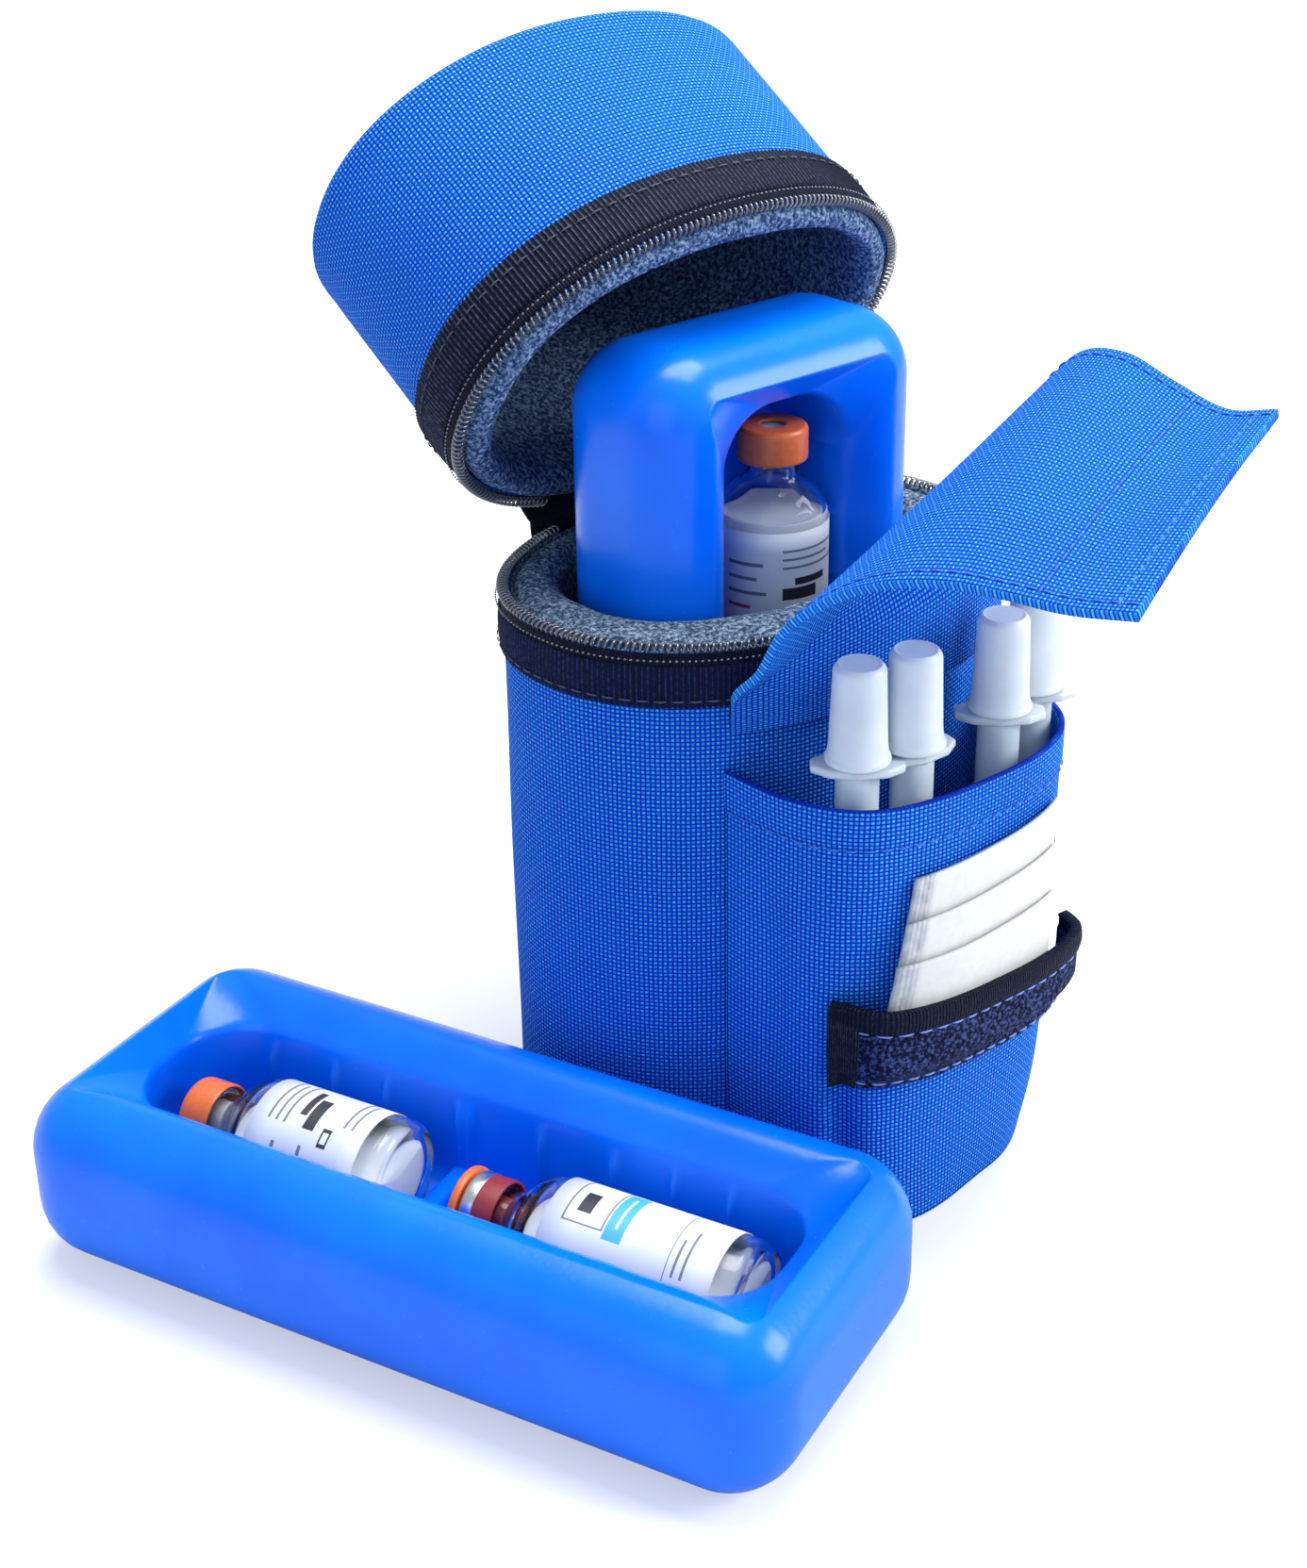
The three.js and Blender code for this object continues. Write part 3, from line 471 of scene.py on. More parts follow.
def weave_finish(name, base, pit_shade_and_patch, light, across=0.94 * MM, up=0.86 * MM):
    """Oxford weave: warp floats stand over weft floats in a checker of two thread pitches. The gaps between
    the yarns are coloured as painted shade and the raised floats as a painted highlight.
    """
    finish = Finish(name, base, 0.75, Specular_IOR_Level=0.12)
    x, y = finish.cut_uv()
    drift = finish.times(finish.math("SUBTRACT", finish.noise(220.0), 0.5), 1.4)
    warp = finish.math("COSINE", finish.plus(finish.times(x, math.pi / across), drift))
    weft = finish.math("COSINE", finish.plus(finish.times(y, math.pi / up), drift))
    floats = finish.times(warp, weft)
    height = finish.math("POWER", finish.math("ABSOLUTE", floats), 0.8)
    over = finish.times(finish.ramp(floats, -1.4, 0.6), finish.ramp(height, 0.45, 0.85))
    # Painted shade: the low parts between the yarns are coloured towards the pit colour.
    body = finish.mix(finish.ramp(height, 0.22, 0.62), pit_shade_and_patch, base)
    fibre = finish.ramp(finish.noise(2600.0, 2.0), 0.3, 0.7)
    # Painted highlight: the raised warp floats are coloured towards the light colour.
    yarn = finish.mix(finish.times(over, finish.math("MULTIPLY_ADD", fibre, 0.5, 0.5)), body, light)
    # Random patches darken towards the same pit colour.
    patches = finish.ramp(finish.noise(35.0, 3.0), 0.3, 0.7)
    finish.colour(finish.mix(finish.times(patches, 0.15), yarn, pit_shade_and_patch))
    relief = finish.plus(height, finish.times(over, 0.5))
    finish.bump(relief, 0.25 * MM, 1.0)
    return finish.material


def ribbed_finish(name, base, light, pitch):
    """Grosgrain: cords across the tape with fine threads over them. The crowns of the cords are coloured
    lighter as a speckled painted highlight.
    """
    finish = Finish(name, base, 0.7, Specular_IOR_Level=0.15)
    x, y = finish.cut_uv()
    cord = finish.math("SINE", finish.times(x, FULL_TURN / pitch))
    fine = finish.math("SINE", finish.times(y, FULL_TURN / (0.45 * MM)))
    crown = finish.ramp(cord, 0.1, 0.95)
    speck = finish.ramp(finish.noise(1300.0, 3.0), 0.4, 0.62)
    share = finish.times(crown, finish.math("MULTIPLY_ADD", speck, 0.75, 0.25))
    # Painted highlight: the crowns of the cords are mixed towards the light colour.
    finish.colour(finish.mix(share, base, light))
    finish.bump(finish.plus(cord, finish.times(fine, 0.4)), 0.18 * MM, 1.0)
    return finish.material


def foam_finish(name, dark, mid, light):
    """Speckled foam: grains of three tones and dark pores."""
    finish = Finish(name, mid, 0.92, Specular_IOR_Level=0.1)
    grain = finish.noise(1150.0, 3.0, 0.7)
    pores = finish.cells(1100.0)
    low = finish.mix(finish.ramp(grain, 0.42, 0.5), dark, mid)
    colour = finish.mix(finish.ramp(grain, 0.52, 0.6), low, light)
    finish.colour(finish.mix(finish.ramp(pores, 0.30, 0.05), colour, dark))
    finish.bump(finish.plus(grain, pores), 0.5 * MM, 0.9)
    return finish.material


def pile_finish(name, dark, light):
    """Loop pile of a hook-and-loop tape: tangled fine loops."""
    finish = Finish(name, dark, 0.85, Specular_IOR_Level=0.15)
    tangle = finish.noise(1200.0, 4.0, 0.75)
    loops = finish.cells(1100.0)
    height = finish.math("SUBTRACT", tangle, finish.times(loops, 0.25))
    finish.colour(finish.mix(finish.ramp(height, 0.36, 0.46), dark, light))
    finish.bump(finish.plus(tangle, loops), 0.7 * MM, 1.0)
    return finish.material


def moulded_finish(name, colour, deep):
    """Blow-moulded plastic: soft gloss, faint skin texture and slightly uneven walls."""
    finish = Finish(name, colour, 0.32, Subsurface_Weight=0.1, Subsurface_Scale=4 * MM, IOR=1.5,
                    Specular_IOR_Level=0.3)
    wide = finish.noise(40.0, 2.0)
    skin = finish.noise(900.0, 2.0)
    finish.colour(finish.mix(finish.ramp(wide, 0.35, 0.7), colour, deep))
    finish.rough(finish.math("MULTIPLY_ADD", skin, 0.1, 0.2))
    finish.bump(finish.plus(finish.times(wide, 4.0), skin), 0.06 * MM, 0.5)
    return finish.material


def clear_finish(name, colour, roughness, ior, transmission):
    """Glass or liquid, with a trace of haze."""
    finish = Finish(name, colour, roughness, Transmission_Weight=transmission, IOR=ior)
    finish.rough(finish.math("MULTIPLY_ADD", finish.noise(300.0), 0.05, roughness))
    return finish.material


def frosted_finish(name, colour):
    """Milky plastic with faint streaks of flow."""
    finish = Finish(name, colour, 0.42, Transmission_Weight=0.25, Subsurface_Weight=0.35,
                    Subsurface_Scale=3 * MM, IOR=1.48, Coat_Weight=0.1)
    grain = finish.noise(700.0, 2.0)
    streaks = finish.noise(120.0, 2.0)
    finish.colour(finish.mix(finish.ramp(streaks, 0.3, 0.75), colour, tuple(c * 0.9 for c in colour)))
    finish.bump(grain, 0.05 * MM, 0.4)
    return finish.material


def plain_finish(name, colour, roughness, metallic=0.0, grain=800.0, **sockets):
    """A small moulded or metal piece: fine grain and slight wear in its colour."""
    finish = Finish(name, colour, roughness, metallic, **sockets)
    wear = finish.noise(grain, 2.0)
    finish.colour(finish.mix(finish.ramp(wear, 0.4, 0.8), colour, tuple(c * 0.82 for c in colour)))
    finish.bump(wear, 0.05 * MM, 0.5)
    return finish.material


STOCK = (0.66, 0.67, 0.68)
INK = (0.02, 0.02, 0.03)
SOFT_INK = (0.16, 0.17, 0.20)
RED_INK = (0.45, 0.05, 0.05)
PALE_BLUE = (0.06, 0.38, 0.78)
# Each mark: colour, then its left, right, low and high edge as shares of the label
SHORT_MARKS = (
    (INK, 0.40, 0.52, 0.44, 0.54), (INK, 0.44, 0.56, 0.56, 0.62), (INK, 0.36, 0.42, 0.28, 0.36),
    (STOCK, 0.372, 0.408, 0.295, 0.345),
    (SOFT_INK, 0.40, 0.66, 0.70, 0.72),
    (SOFT_INK, 0.40, 0.58, 0.77, 0.79),
    (SOFT_INK, 0.40, 0.62, 0.84, 0.86),
    (SOFT_INK, 0.44, 0.66, 0.20, 0.22),
    (SOFT_INK, 0.44, 0.60, 0.13, 0.15),
    (SOFT_INK, 0.22, 0.34, 0.72, 0.75),
    (SOFT_INK, 0.22, 0.32, 0.60, 0.63),
    (SOFT_INK, 0.22, 0.35, 0.48, 0.51),
    (RED_INK, 0.22, 0.30, 0.36, 0.39),
)
LONG_MARKS = (
    (SOFT_INK, 0.40, 0.62, 0.66, 0.90),
    (STOCK, 0.405, 0.615, 0.67, 0.89),
    (INK, 0.44, 0.52, 0.76, 0.84),
    (PALE_BLUE, 0.38, 0.60, 0.54, 0.65),
    (STOCK, 0.42, 0.56, 0.585, 0.60),
    (SOFT_INK, 0.30, 0.70, 0.26, 0.266),
    (SOFT_INK, 0.34, 0.46, 0.21, 0.225),
    (SOFT_INK, 0.34, 0.50, 0.16, 0.175),
    (SOFT_INK, 0.62, 0.66, 0.56, 0.60),
    (SOFT_INK, 0.62, 0.66, 0.44, 0.46), (SOFT_INK, 0.60, 0.66, 0.34, 0.355),
)


def label_finish(name, length, height, marks):
    """A printed label: white stock with generic bars, a pale blue patch and plain rules."""
    finish = Finish(name, STOCK, 0.5)
    x, y = finish.cut_uv()
    colour = STOCK
    for ink, left, right, low, high in marks:
        inside = finish.times(finish.math("GREATER_THAN", x, left * length),
                             finish.math("LESS_THAN", x, right * length))
        level = finish.times(finish.math("GREATER_THAN", y, low * height),
                            finish.math("LESS_THAN", y, high * height))
        colour = finish.mix(finish.times(inside, level), colour, ink)
    finish.colour(colour)
    finish.bump(finish.noise(600.0), 0.03 * MM, 0.3)
    return finish.material


def paper_finish(name):
    """Coated paper of a swab packet, with its crimped left edge, which is coloured dark grey as painted
    shade.
    """
    finish = Finish(name, (0.84, 0.85, 0.86), 0.5)
    x, _ = finish.cut_uv()
    crimp = finish.math("SINE", finish.times(x, FULL_TURN / (0.9 * MM)))
    edge = finish.ramp(x, 4.5 * MM, 3.0 * MM)
    fibre = finish.noise(500.0, 3.0)
    # Painted shade: a dark grey strip along the crimped left edge.
    grey = finish.mix(finish.times(edge, 0.8), (0.70, 0.69, 0.67), (0.22, 0.25, 0.30))
    finish.colour(finish.mix(finish.ramp(fibre, 0.3, 0.8), grey, (0.63, 0.62, 0.60)))
    finish.bump(finish.plus(finish.times(crimp, edge), fibre), 0.08 * MM, 0.5)
    return finish.material


MATERIALS = {}


def make_materials(colours):
    """All finishes, by the names of the record's material slots and a few more."""
    blue, pit_shade_and_patch, light = tuple(colours.fabric), tuple(colours.fabric_pit_shade_and_patch), tuple(colours.fabric_float_highlight)
    MATERIALS.update({
        "shell_fabric": weave_finish("oxford_weave", blue, pit_shade_and_patch, light),
        # The lid's tape and the case's tape are one grosgrain in two copies: a lit copy for the lid, with
        # painted light on lighter cords, and a shaded copy for the case, with painted shade.
        "lid_tape": ribbed_finish("lid_grosgrain_painted_lit", (0.001, 0.002, 0.012), (0.07, 0.08, 0.14), CORD_PITCH),
        "case_tape": ribbed_finish("case_grosgrain_painted_shade", (0.001, 0.003, 0.024), (0.018, 0.03, 0.12), CORD_PITCH),
        "zip_ground": ribbed_finish("zip_ground_tape", (0.001, 0.002, 0.012), (0.015, 0.02, 0.06), 0.6 * MM),
        "zip_coil": plain_finish("zip_coil_nylon", (0.06, 0.065, 0.085), 0.14, grain=300.0,
                                 Specular_IOR_Level=1.0, Coat_Weight=0.8),
        "dark_thread": plain_finish("dark_thread", (0.05, 0.06, 0.10), 0.7),
        "pale_thread": plain_finish("pale_thread", (0.20, 0.30, 0.80), 0.7),
        "blue_thread": plain_finish("blue_thread", (0.03, 0.16, 0.62), 0.7),
        "foam": foam_finish("case_foam", (0.02, 0.035, 0.07), (0.09, 0.14, 0.20), (0.26, 0.33, 0.40)),
        "lid_foam": foam_finish("lid_foam", (0.015, 0.035, 0.10), (0.08, 0.14, 0.27), (0.24, 0.34, 0.48)),
        "slider_metal": plain_finish("slider_metal", (0.35, 0.36, 0.38), 0.3, 1.0),
        "loop_pile": pile_finish("loop_pile", (0.001, 0.003, 0.02), (0.055, 0.08, 0.26)),
        "packet_paper": paper_finish("packet_paper"),
        "tray_plastic": moulded_finish("tray_plastic", tuple(colours.tray), tuple(colours.tray_deep)),
        "vial_glass": clear_finish("vial_glass", (0.98, 0.995, 1.0), 0.02, 1.3, 1.0),
        "insulin": clear_finish("insulin", (0.90, 0.95, 1.0), 0.05, 1.2, 0.25),
        "stopper_rubber": plain_finish("grey_rubber", (0.42, 0.44, 0.48), 0.6),
        "red_rubber": plain_finish("red_rubber", (0.24, 0.016, 0.022), 0.5),
        "orange_seal": plain_finish("orange_seal", (0.72, 0.14, 0.03), 0.38),
        "silver_seal": plain_finish("silver_seal", (0.62, 0.63, 0.66), 0.28, 1.0),
        "shield_orange": plain_finish("orange_shield", (0.85, 0.22, 0.04), 0.4),
        "barrel_clear": frosted_finish("barrel_clear", (0.74, 0.80, 0.86)),
        "flange_clear": frosted_finish("flange_clear", (0.72, 0.78, 0.84)),
        "frosted_cap": frosted_finish("frosted_cap", (0.78, 0.83, 0.88)),
    })


# Settings


def length_setting(name, description, default):
    return bpy.props.FloatProperty(name=name, description=description, default=default, unit="LENGTH",
                                   precision=5)


def colour_setting(name, description, default):
    return bpy.props.FloatVectorProperty(name=name, description=description, default=default,
                                         subtype="COLOR", size=3, min=0, max=1)


class CaseColours(bpy.types.PropertyGroup):
    fabric: colour_setting("Fabric", "Yarn of the case's weave", (0.004, 0.165, 0.90))
    # The pit colour is painted shade between the yarns, also used for random patches. The float colour is a
    # painted highlight on the raised yarn.
    fabric_pit_shade_and_patch: colour_setting("Fabric pits", "Gaps between the yarns", (0.0, 0.02, 0.36))
    fabric_float_highlight: colour_setting("Fabric floats", "Raised floats of the yarn", (0.10, 0.62, 1.0))
    tray: colour_setting("Tray", "Moulded trays", (0.0, 0.165, 0.92))
    tray_deep: colour_setting("Tray, thick walls", "Where the trays' walls are thick", (0.0, 0.13, 0.84))


class CaseStage(bpy.types.PropertyGroup):
    lens: bpy.props.FloatProperty(name="Lens", description="Focal length", default=55.0, unit="CAMERA")
    distance: length_setting("Distance", "Camera to the case's middle", 487.38 * MM)
    floor: length_setting("Floor", "Side of the floor", 3.0)


# Operators


class CASE_OT_materials(bpy.types.Operator):
    """Every finish of the case and of what it holds"""
    bl_idname = "cooling_case.materials"
    bl_label = "Materials"

    def execute(self, context):
        make_materials(context.scene.case_colours)
        return {"FINISHED"}


def foam_ring_mesh(outer, inner, section, rim, side, reach, grain, cut_height, rows):
    """A foam ring between two outlines, lumpy within reach of its rim.

    Its section runs from the outer foot over the rim to the inner foot, as how far in and how high.
    Side is 1 where the rim is the ring's top and -1 where it is its foot.
    """
    section = [Vector(pair) for pair in section]

    def place(u, v):
        mix, z = along(section, v)
        point = outer.at(u)[0].lerp(inner.at(u)[0], mix)
        lump = 0.5 * MM * noise.noise(Vector((point.x * grain, point.y * grain, z * 60)))
        near = side * z > side * rim - reach
        return Vector((point.x, point.y, side * min(side * z, side * rim) + (lump if near else 0)))

    bm = grid_mesh(place, 240, rows, (outer.length, cut_height), merge=True)
    bmesh.ops.bridge_loops(bm, edges=[edge for edge in bm.edges if edge.is_boundary])
    bmesh.ops.recalc_face_normals(bm, faces=bm.faces)
    return bm


class CASE_OT_body(bpy.types.Operator):
    """The woven body, its base, its foam ring and its foam pad"""
    bl_idname = "cooling_case.body"
    bl_label = "Case Body"

    def execute(self, context):
        wall = case_outline()
        turn_in = 2.5 * MM

        def place(u, v):
            point, out = wall.at(u)
            z = lerp(0, RIM_Z, v)
            tuck = turn_in * max(0.0, 1 - z / turn_in)
            ripple = 0.35 * MM * noise.noise(Vector((point.x * 40, point.y * 40, z * 22)))
            return Vector((point.x, point.y, z)) + out * (ripple - 0.45 * tuck)

        bm = grid_mesh(place, 180, 60, (wall.length, RIM_Z), merge=True)
        body = make_piece("case_body_fabric", bm, "shell_fabric", "case", ["case_shell"])
        settle(body, lambda co: co.z > RIM_Z - TAPE_HEIGHT or co.z < 3 * MM)
        thicken(body, CLOTH)

        base = panel_mesh(case_outline(-1.6 * MM), lambda v: 0.2 * MM + 0.8 * MM * ease(v * 3))
        bmesh.ops.reverse_faces(base, faces=base.faces)
        base = make_piece("case_base_fabric", base, "shell_fabric", "case", ["case_base_board"])
        thicken(base, CLOTH)

        inner = oval(39.5 * MM, 25.6 * MM, 2.4, 4 * MM)
        self.foam_ring(inner, case_outline(-CLOTH - FIT))
        pad = panel_mesh(case_outline(-CLOTH - FIT), lambda v: 4.0 * MM - 0.4 * MM * ease(1 - v * 12))
        pad = make_piece("case_foam_pad", pad, "foam", "case", ["case_foam_base"])
        thicken(pad, 2.0 * MM)
        return {"FINISHED"}

    def foam_ring(self, inner, outer):
        crown = RIM_Z + 1.4 * MM
        foot = 4.3 * MM
        middle = lerp(foot, crown, 0.5)
        section = (
            (0, foot), (0, middle), (0, crown - 5 * MM), (0.05, crown - 1.6 * MM), (0.25, crown - 0.2 * MM),
            (0.5, crown), (0.8, crown - 0.6 * MM), (0.98, crown - 3 * MM), (1, crown - 8 * MM), (1, middle),
            (1, foot),
        )
        bm = foam_ring_mesh(outer, inner, section, crown, 1, 6 * MM, 90, 200 * MM, 44)
        ring = make_piece("case_foam_ring", bm, "foam", "case", ["case_foam_liner"])


def rim_point(outline, share, z, lift, scale=1.0):
    """A point beside a rim's outline, and the outward normal there."""
    point, out = outline.at(share)
    return Vector((point.x * scale, point.y * scale, z)) + out * lift, out


def tape_piece(name, scale_at, low, high, body, node, stitch_z, looped_top, transform=None):
    """Ribbed tape round a rim, with its woven cords, one looped edge and a sewn row."""
    outline = case_outline()
    cords = round(outline.length / CORD_PITCH)

    def place(u, v):
        wave = math.cos(FULL_TURN * cords * u)
        near = max(0.0, (v if looped_top else 1 - v) - 0.92) / 0.08
        z = lerp(low, high, v)
        z += 0.18 * MM * wave * near * (1 if looped_top else -1)
        swell = 0.12 * MM * wave + 0.25 * MM * math.sin(math.pi * v)
        return rim_point(outline, u, z, TAPE_OUT - 0.3 * MM + swell, scale_at(z))[0]

    def sewn(share):
        return rim_point(outline, share, stitch_z, TAPE_OUT + 0.12 * MM, scale_at(stitch_z))

    bm = grid_mesh(place, cords * 4, 8, (outline.length, high - low), merge=True)
    # The lid's half takes the lit copy of the grosgrain, with painted light, and the case's half takes the
    # shaded copy, with painted shade.
    tape = make_piece(name, bm, "zip_tape", body, [node], f"{body}_tape", transform)
    thicken(tape, 0.8 * MM)
    make_piece(f"{name}_stitches_1", stitch_mesh(sewn, outline.length, thread=0.16 * MM), "zip_tape", body,
               finish="dark_thread", transform=transform)


def coil_piece(name, z, body, node, toward, transform=None):
    """Nylon zip coil: one flattened helix along the rim, open at the hinge, with the thread that sews it."""
    outline = case_outline()
    pitch = 1.3 * MM
    half_width, half_height = 1.05 * MM, 0.85 * MM
    length = outline.length * (COIL_END - COIL_START)
    turns = round(length / pitch)
    steps = 9
    route = []
    for i in range(turns * steps + 1):
        angle = FULL_TURN * i / steps
        share = lerp(COIL_START, COIL_END, i / (turns * steps))
        point, _ = rim_point(outline, share, z, half_width * math.cos(angle))
        route.append(point + Vector((0, 0, half_height * math.sin(angle))))
    make_piece(name, tube_mesh([route], 0.30 * MM, sides=4), "zip_coil", body, [node], transform=transform)

    def sewn(share):
        return rim_point(outline, lerp(COIL_START, COIL_END, share), z - 2.0 * MM * toward, 1.35 * MM)
    bm = stitch_mesh(sewn, length, 0.55 * MM, 0.6 * MM, 0.2 * MM)
    make_piece(f"{name}_stitches", bm, "zip_coil", body, transform=transform)


class CASE_OT_zip(bpy.types.Operator):
    """Ribbed tapes, ground tapes, coils, slider and hinge fabric"""
    bl_idname = "cooling_case.zip"
    bl_label = "Zip"

    def execute(self, context):
        low = LID_WALL_Z
        tape_piece("case_tape_ribbed", lambda z: 1.0, RIM_Z - TAPE_HEIGHT, RIM_Z - 2.2 * MM, "case",
                   "case_zip_tape", RIM_Z - 9.0 * MM, False)
        self.ground_tape("case_zip_ground", RIM_Z - 3.6 * MM, RIM_Z + 0.3 * MM, lambda z: 1.0, "case")
        coil_piece("case_coil_helix", RIM_Z + FIT + COIL_RADIUS, "case", "case_zip_coil", 1)
        tape_piece("lid_tape_ribbed", lid_scale, low + 2.2 * MM, low + TAPE_HEIGHT + 1.5 * MM, "lid",
                   "lid_zip_tape", low + 9.4 * MM, True, LID_TURN)
        self.ground_tape("lid_zip_ground", low - 0.3 * MM, low + 3.6 * MM, lid_scale, "lid", LID_TURN)
        coil_piece("lid_coil_helix", LID_RIM_Z + COIL_RADIUS, "lid", "lid_zip_coil", -1, LID_TURN)
        self.hinge()
        for node in ("zip_slider", "zip_pull"):
            piece = bpy.data.objects[node]
            piece.data.materials.clear()
            piece.data.materials.append(MATERIALS["slider_metal"])
        return {"FINISHED"}

    def ground_tape(self, name, low, high, scale_at, body, transform=None):
        outline = case_outline()

        def place(u, v):
            z = lerp(low, high, v)
            return rim_point(outline, u, z, 0.55 * MM + 0.1 * MM * math.sin(math.pi * v), scale_at(z))[0]

        bm = grid_mesh(place, 200, 6, (outline.length, high - low), merge=True)
        piece = make_piece(name, bm, "zip_tape", body, finish="zip_ground", transform=transform)
        thicken(piece, 0.6 * MM)

    def hinge(self):
        """One strip from the case's tape to the lid's, its upper half turned with the lid past the fold
        line.
        """
        half = 24 * MM
        reach = 15 * MM

        def place(u, v):
            x = lerp(half, -half, u)
            fold = ease(abs(2 * v - 1))
            curved = depth_at(x, TAPE_OUT + 1.0 * MM)
            y = lerp(HINGE.y + 0.2 * MM, curved, fold)
            z = HINGE.z + reach * (2 * v - 1)
            point = Vector((x, y, z))
            if v > 0.5:
                point = LID_TURN @ point
            return point

        bm = grid_mesh(place, 30, 24, (2 * half, 2 * reach))
        strip = make_piece("hinge_fabric", bm, "zip_tape", replaces=["case_hinge_strip", "lid_hinge_strip"],
                           finish="zip_ground")
        thicken(strip, 0.6 * MM, 0)
        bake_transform(strip)


def lid_sway(x, z):
    """How far the soft lid's left end is pushed in at a height of the shut lid."""
    return 2.4 * MM * clamp((z - LID_WALL_Z) / (50 * MM)) * ease(-x / WALL_HALF_WIDTH)


def lid_scale(z):
    """Flare of the lid's wall at a height of the shut lid."""
    shoulder = LID_TOP_Z - LID_EDGE
    return 1 + LID_FLARE * clamp((z - LID_WALL_Z) / (shoulder - LID_WALL_Z))


class CASE_OT_lid(bpy.types.Operator):
    """The woven lid, its top panel and its foam"""
    bl_idname = "cooling_case.lid"
    bl_label = "Lid"

    def execute(self, context):
        wall = case_outline()
        rise = LID_TOP_Z - LID_WALL_Z

        def place(u, v):
            point, out = wall.at(u)
            z = lerp(LID_WALL_Z, LID_TOP_Z, v)
            scale = lid_scale(z)
            over = max(0.0, z - (LID_TOP_Z - LID_EDGE)) / LID_EDGE
            tuck = LID_EDGE * (1 - math.sqrt(max(0.0, 1 - over * over)))
            ripple = 0.3 * MM * noise.noise(Vector((point.x * 35, point.y * 35, z * 25)))
            spot = Vector((point.x * scale, point.y * scale, z)) + out * (ripple * (1 - over) - tuck)
            spot.x += lid_sway(spot.x, z)
            return spot

        bm = grid_mesh(place, 180, 48, (wall.length, rise), merge=True)
        lid = make_piece("lid_fabric", bm, "shell_fabric", "lid", ["lid_shell"], transform=LID_TURN)
        settle(lid, lambda co: not 0.2 < (self.shut(co).z - LID_WALL_Z) / rise < 0.96)
        thicken(lid, CLOTH)

        top = panel_mesh(case_outline(-LID_EDGE + 0.2 * MM, 1 + LID_FLARE),
                         lambda v: LID_TOP_Z - 0.1 * MM + 1.4 * MM * ease(v * 1.2))
        for vert in top.verts:
            vert.co.x += lid_sway(vert.co.x, LID_TOP_Z)
        top = make_piece("lid_top_fabric", top, "shell_fabric", "lid", ["lid_top_panel"], transform=LID_TURN)
        thicken(top, CLOTH)
        self.foam()
        return {"FINISHED"}

    def shut(self, co):
        return LID_TURN.inverted() @ co

    def foam(self):
        outer = case_outline(-CLOTH - FIT)
        inner = oval(45 * MM, 31 * MM, 2.4)
        low = LID_RIM_Z - 0.6 * MM
        high = LID_CEILING_Z
        middle = lerp(low, high, 0.5)
        section = (
            (0, high), (0, middle), (0, low + 6 * MM), (0.06, low + 1.8 * MM), (0.4, low),
            (0.75, low + 0.4 * MM), (1, low + 4 * MM), (1, low + 12 * MM), (1, lerp(low, high, 0.6)),
            (1, high),
        )
        bm = foam_ring_mesh(outer, inner, section, low, -1, 8 * MM, 80, 120 * MM, 40)
        ring = make_piece("lid_foam_ring", bm, "foam", "lid", ["lid_foam_liner"], "lid_foam", LID_TURN)
        top = panel_mesh(case_outline(-LID_EDGE - 1.5 * MM, 1 + LID_FLARE), lambda v: LID_CEILING_Z + 6 * MM)
        top = make_piece("lid_foam_pad", top, "foam", "lid", ["lid_foam_top"], "lid_foam", LID_TURN)
        thicken(top, 5.8 * MM)


# The pocket

POCKET_HALF = 35.5 * MM
POCKET_FRONT = 64.5 * MM
POCKET_TOP = 95 * MM
POCKET_POWER = 3.0
# The front right corner's foot is pushed in by this much
CORNER_CRUSH = Vector((-1.6, 3.2, 0))
PLAN_STEP = 2 * MM


def pocket_plan(z):
    """The pocket's plan at a height: from the left seam round the front to the right seam."""
    drop = max(0.0, 1 - z / (36 * MM))
    half = POCKET_HALF - 2 * MM * drop * drop
    start = depth_at(half - CLOTH / 2, FIT)
    points = []
    steps = 96
    for i in range(steps + 1):
        angle = math.pi * (1 - i / steps)
        x = half * signed_power(math.cos(angle), 2 / POCKET_POWER)
        y = (POCKET_FRONT - start) * signed_power(math.sin(angle), 2 / POCKET_POWER)
        points.append(Vector((x, -start - y, 0)))
    return Outline(points)


POCKET_PLANS = [pocket_plan(i * PLAN_STEP) for i in range(52)]
LEFT_CORNER = POCKET_PLANS[-1].lengths[24] / POCKET_PLANS[-1].length


def bump(value, middle, width):
    return math.exp(-((value - middle) / width) ** 2)


def pocket_at(share, z, lift=0.0):
    """A point on the pocket, and its outward normal."""
    share = clamp(share)
    place = min(max(z / PLAN_STEP, 0), len(POCKET_PLANS) - 1.001)
    low, high = POCKET_PLANS[int(place)], POCKET_PLANS[int(place) + 1]
    point, out = low.at(share)
    point = point.lerp(high.at(share)[0], place % 1)
    # The front right corner is crushed in, a valley runs up beside the left one, and the side sinks in
    crush = (1 - clamp(z / (52 * MM))) ** 2 * ease((share - 0.3) / 0.42) * ease((1 - share) / 0.2)
    valley = 3.0 * MM * bump(share, LEFT_CORNER - 0.012, 0.022) * ease((48 * MM - z) / (16 * MM))
    side = 1.8 * MM * bump(share, 0.1, 0.05) * math.sin(math.pi * clamp(z / POCKET_TOP))
    point = Vector((point.x, point.y, z)) + CORNER_CRUSH * MM * crush
    return point + out * (lift - valley - side), out


def pocket_share(x):
    """Share along the pocket at which it stands at x."""
    plan = POCKET_PLANS[-1]
    low, high = 0.0, 1.0
    for _ in range(30):
        middle = (low + high) / 2
        if plan.at(middle)[0].x < x:
            low = middle
        else:
            high = middle
    return low


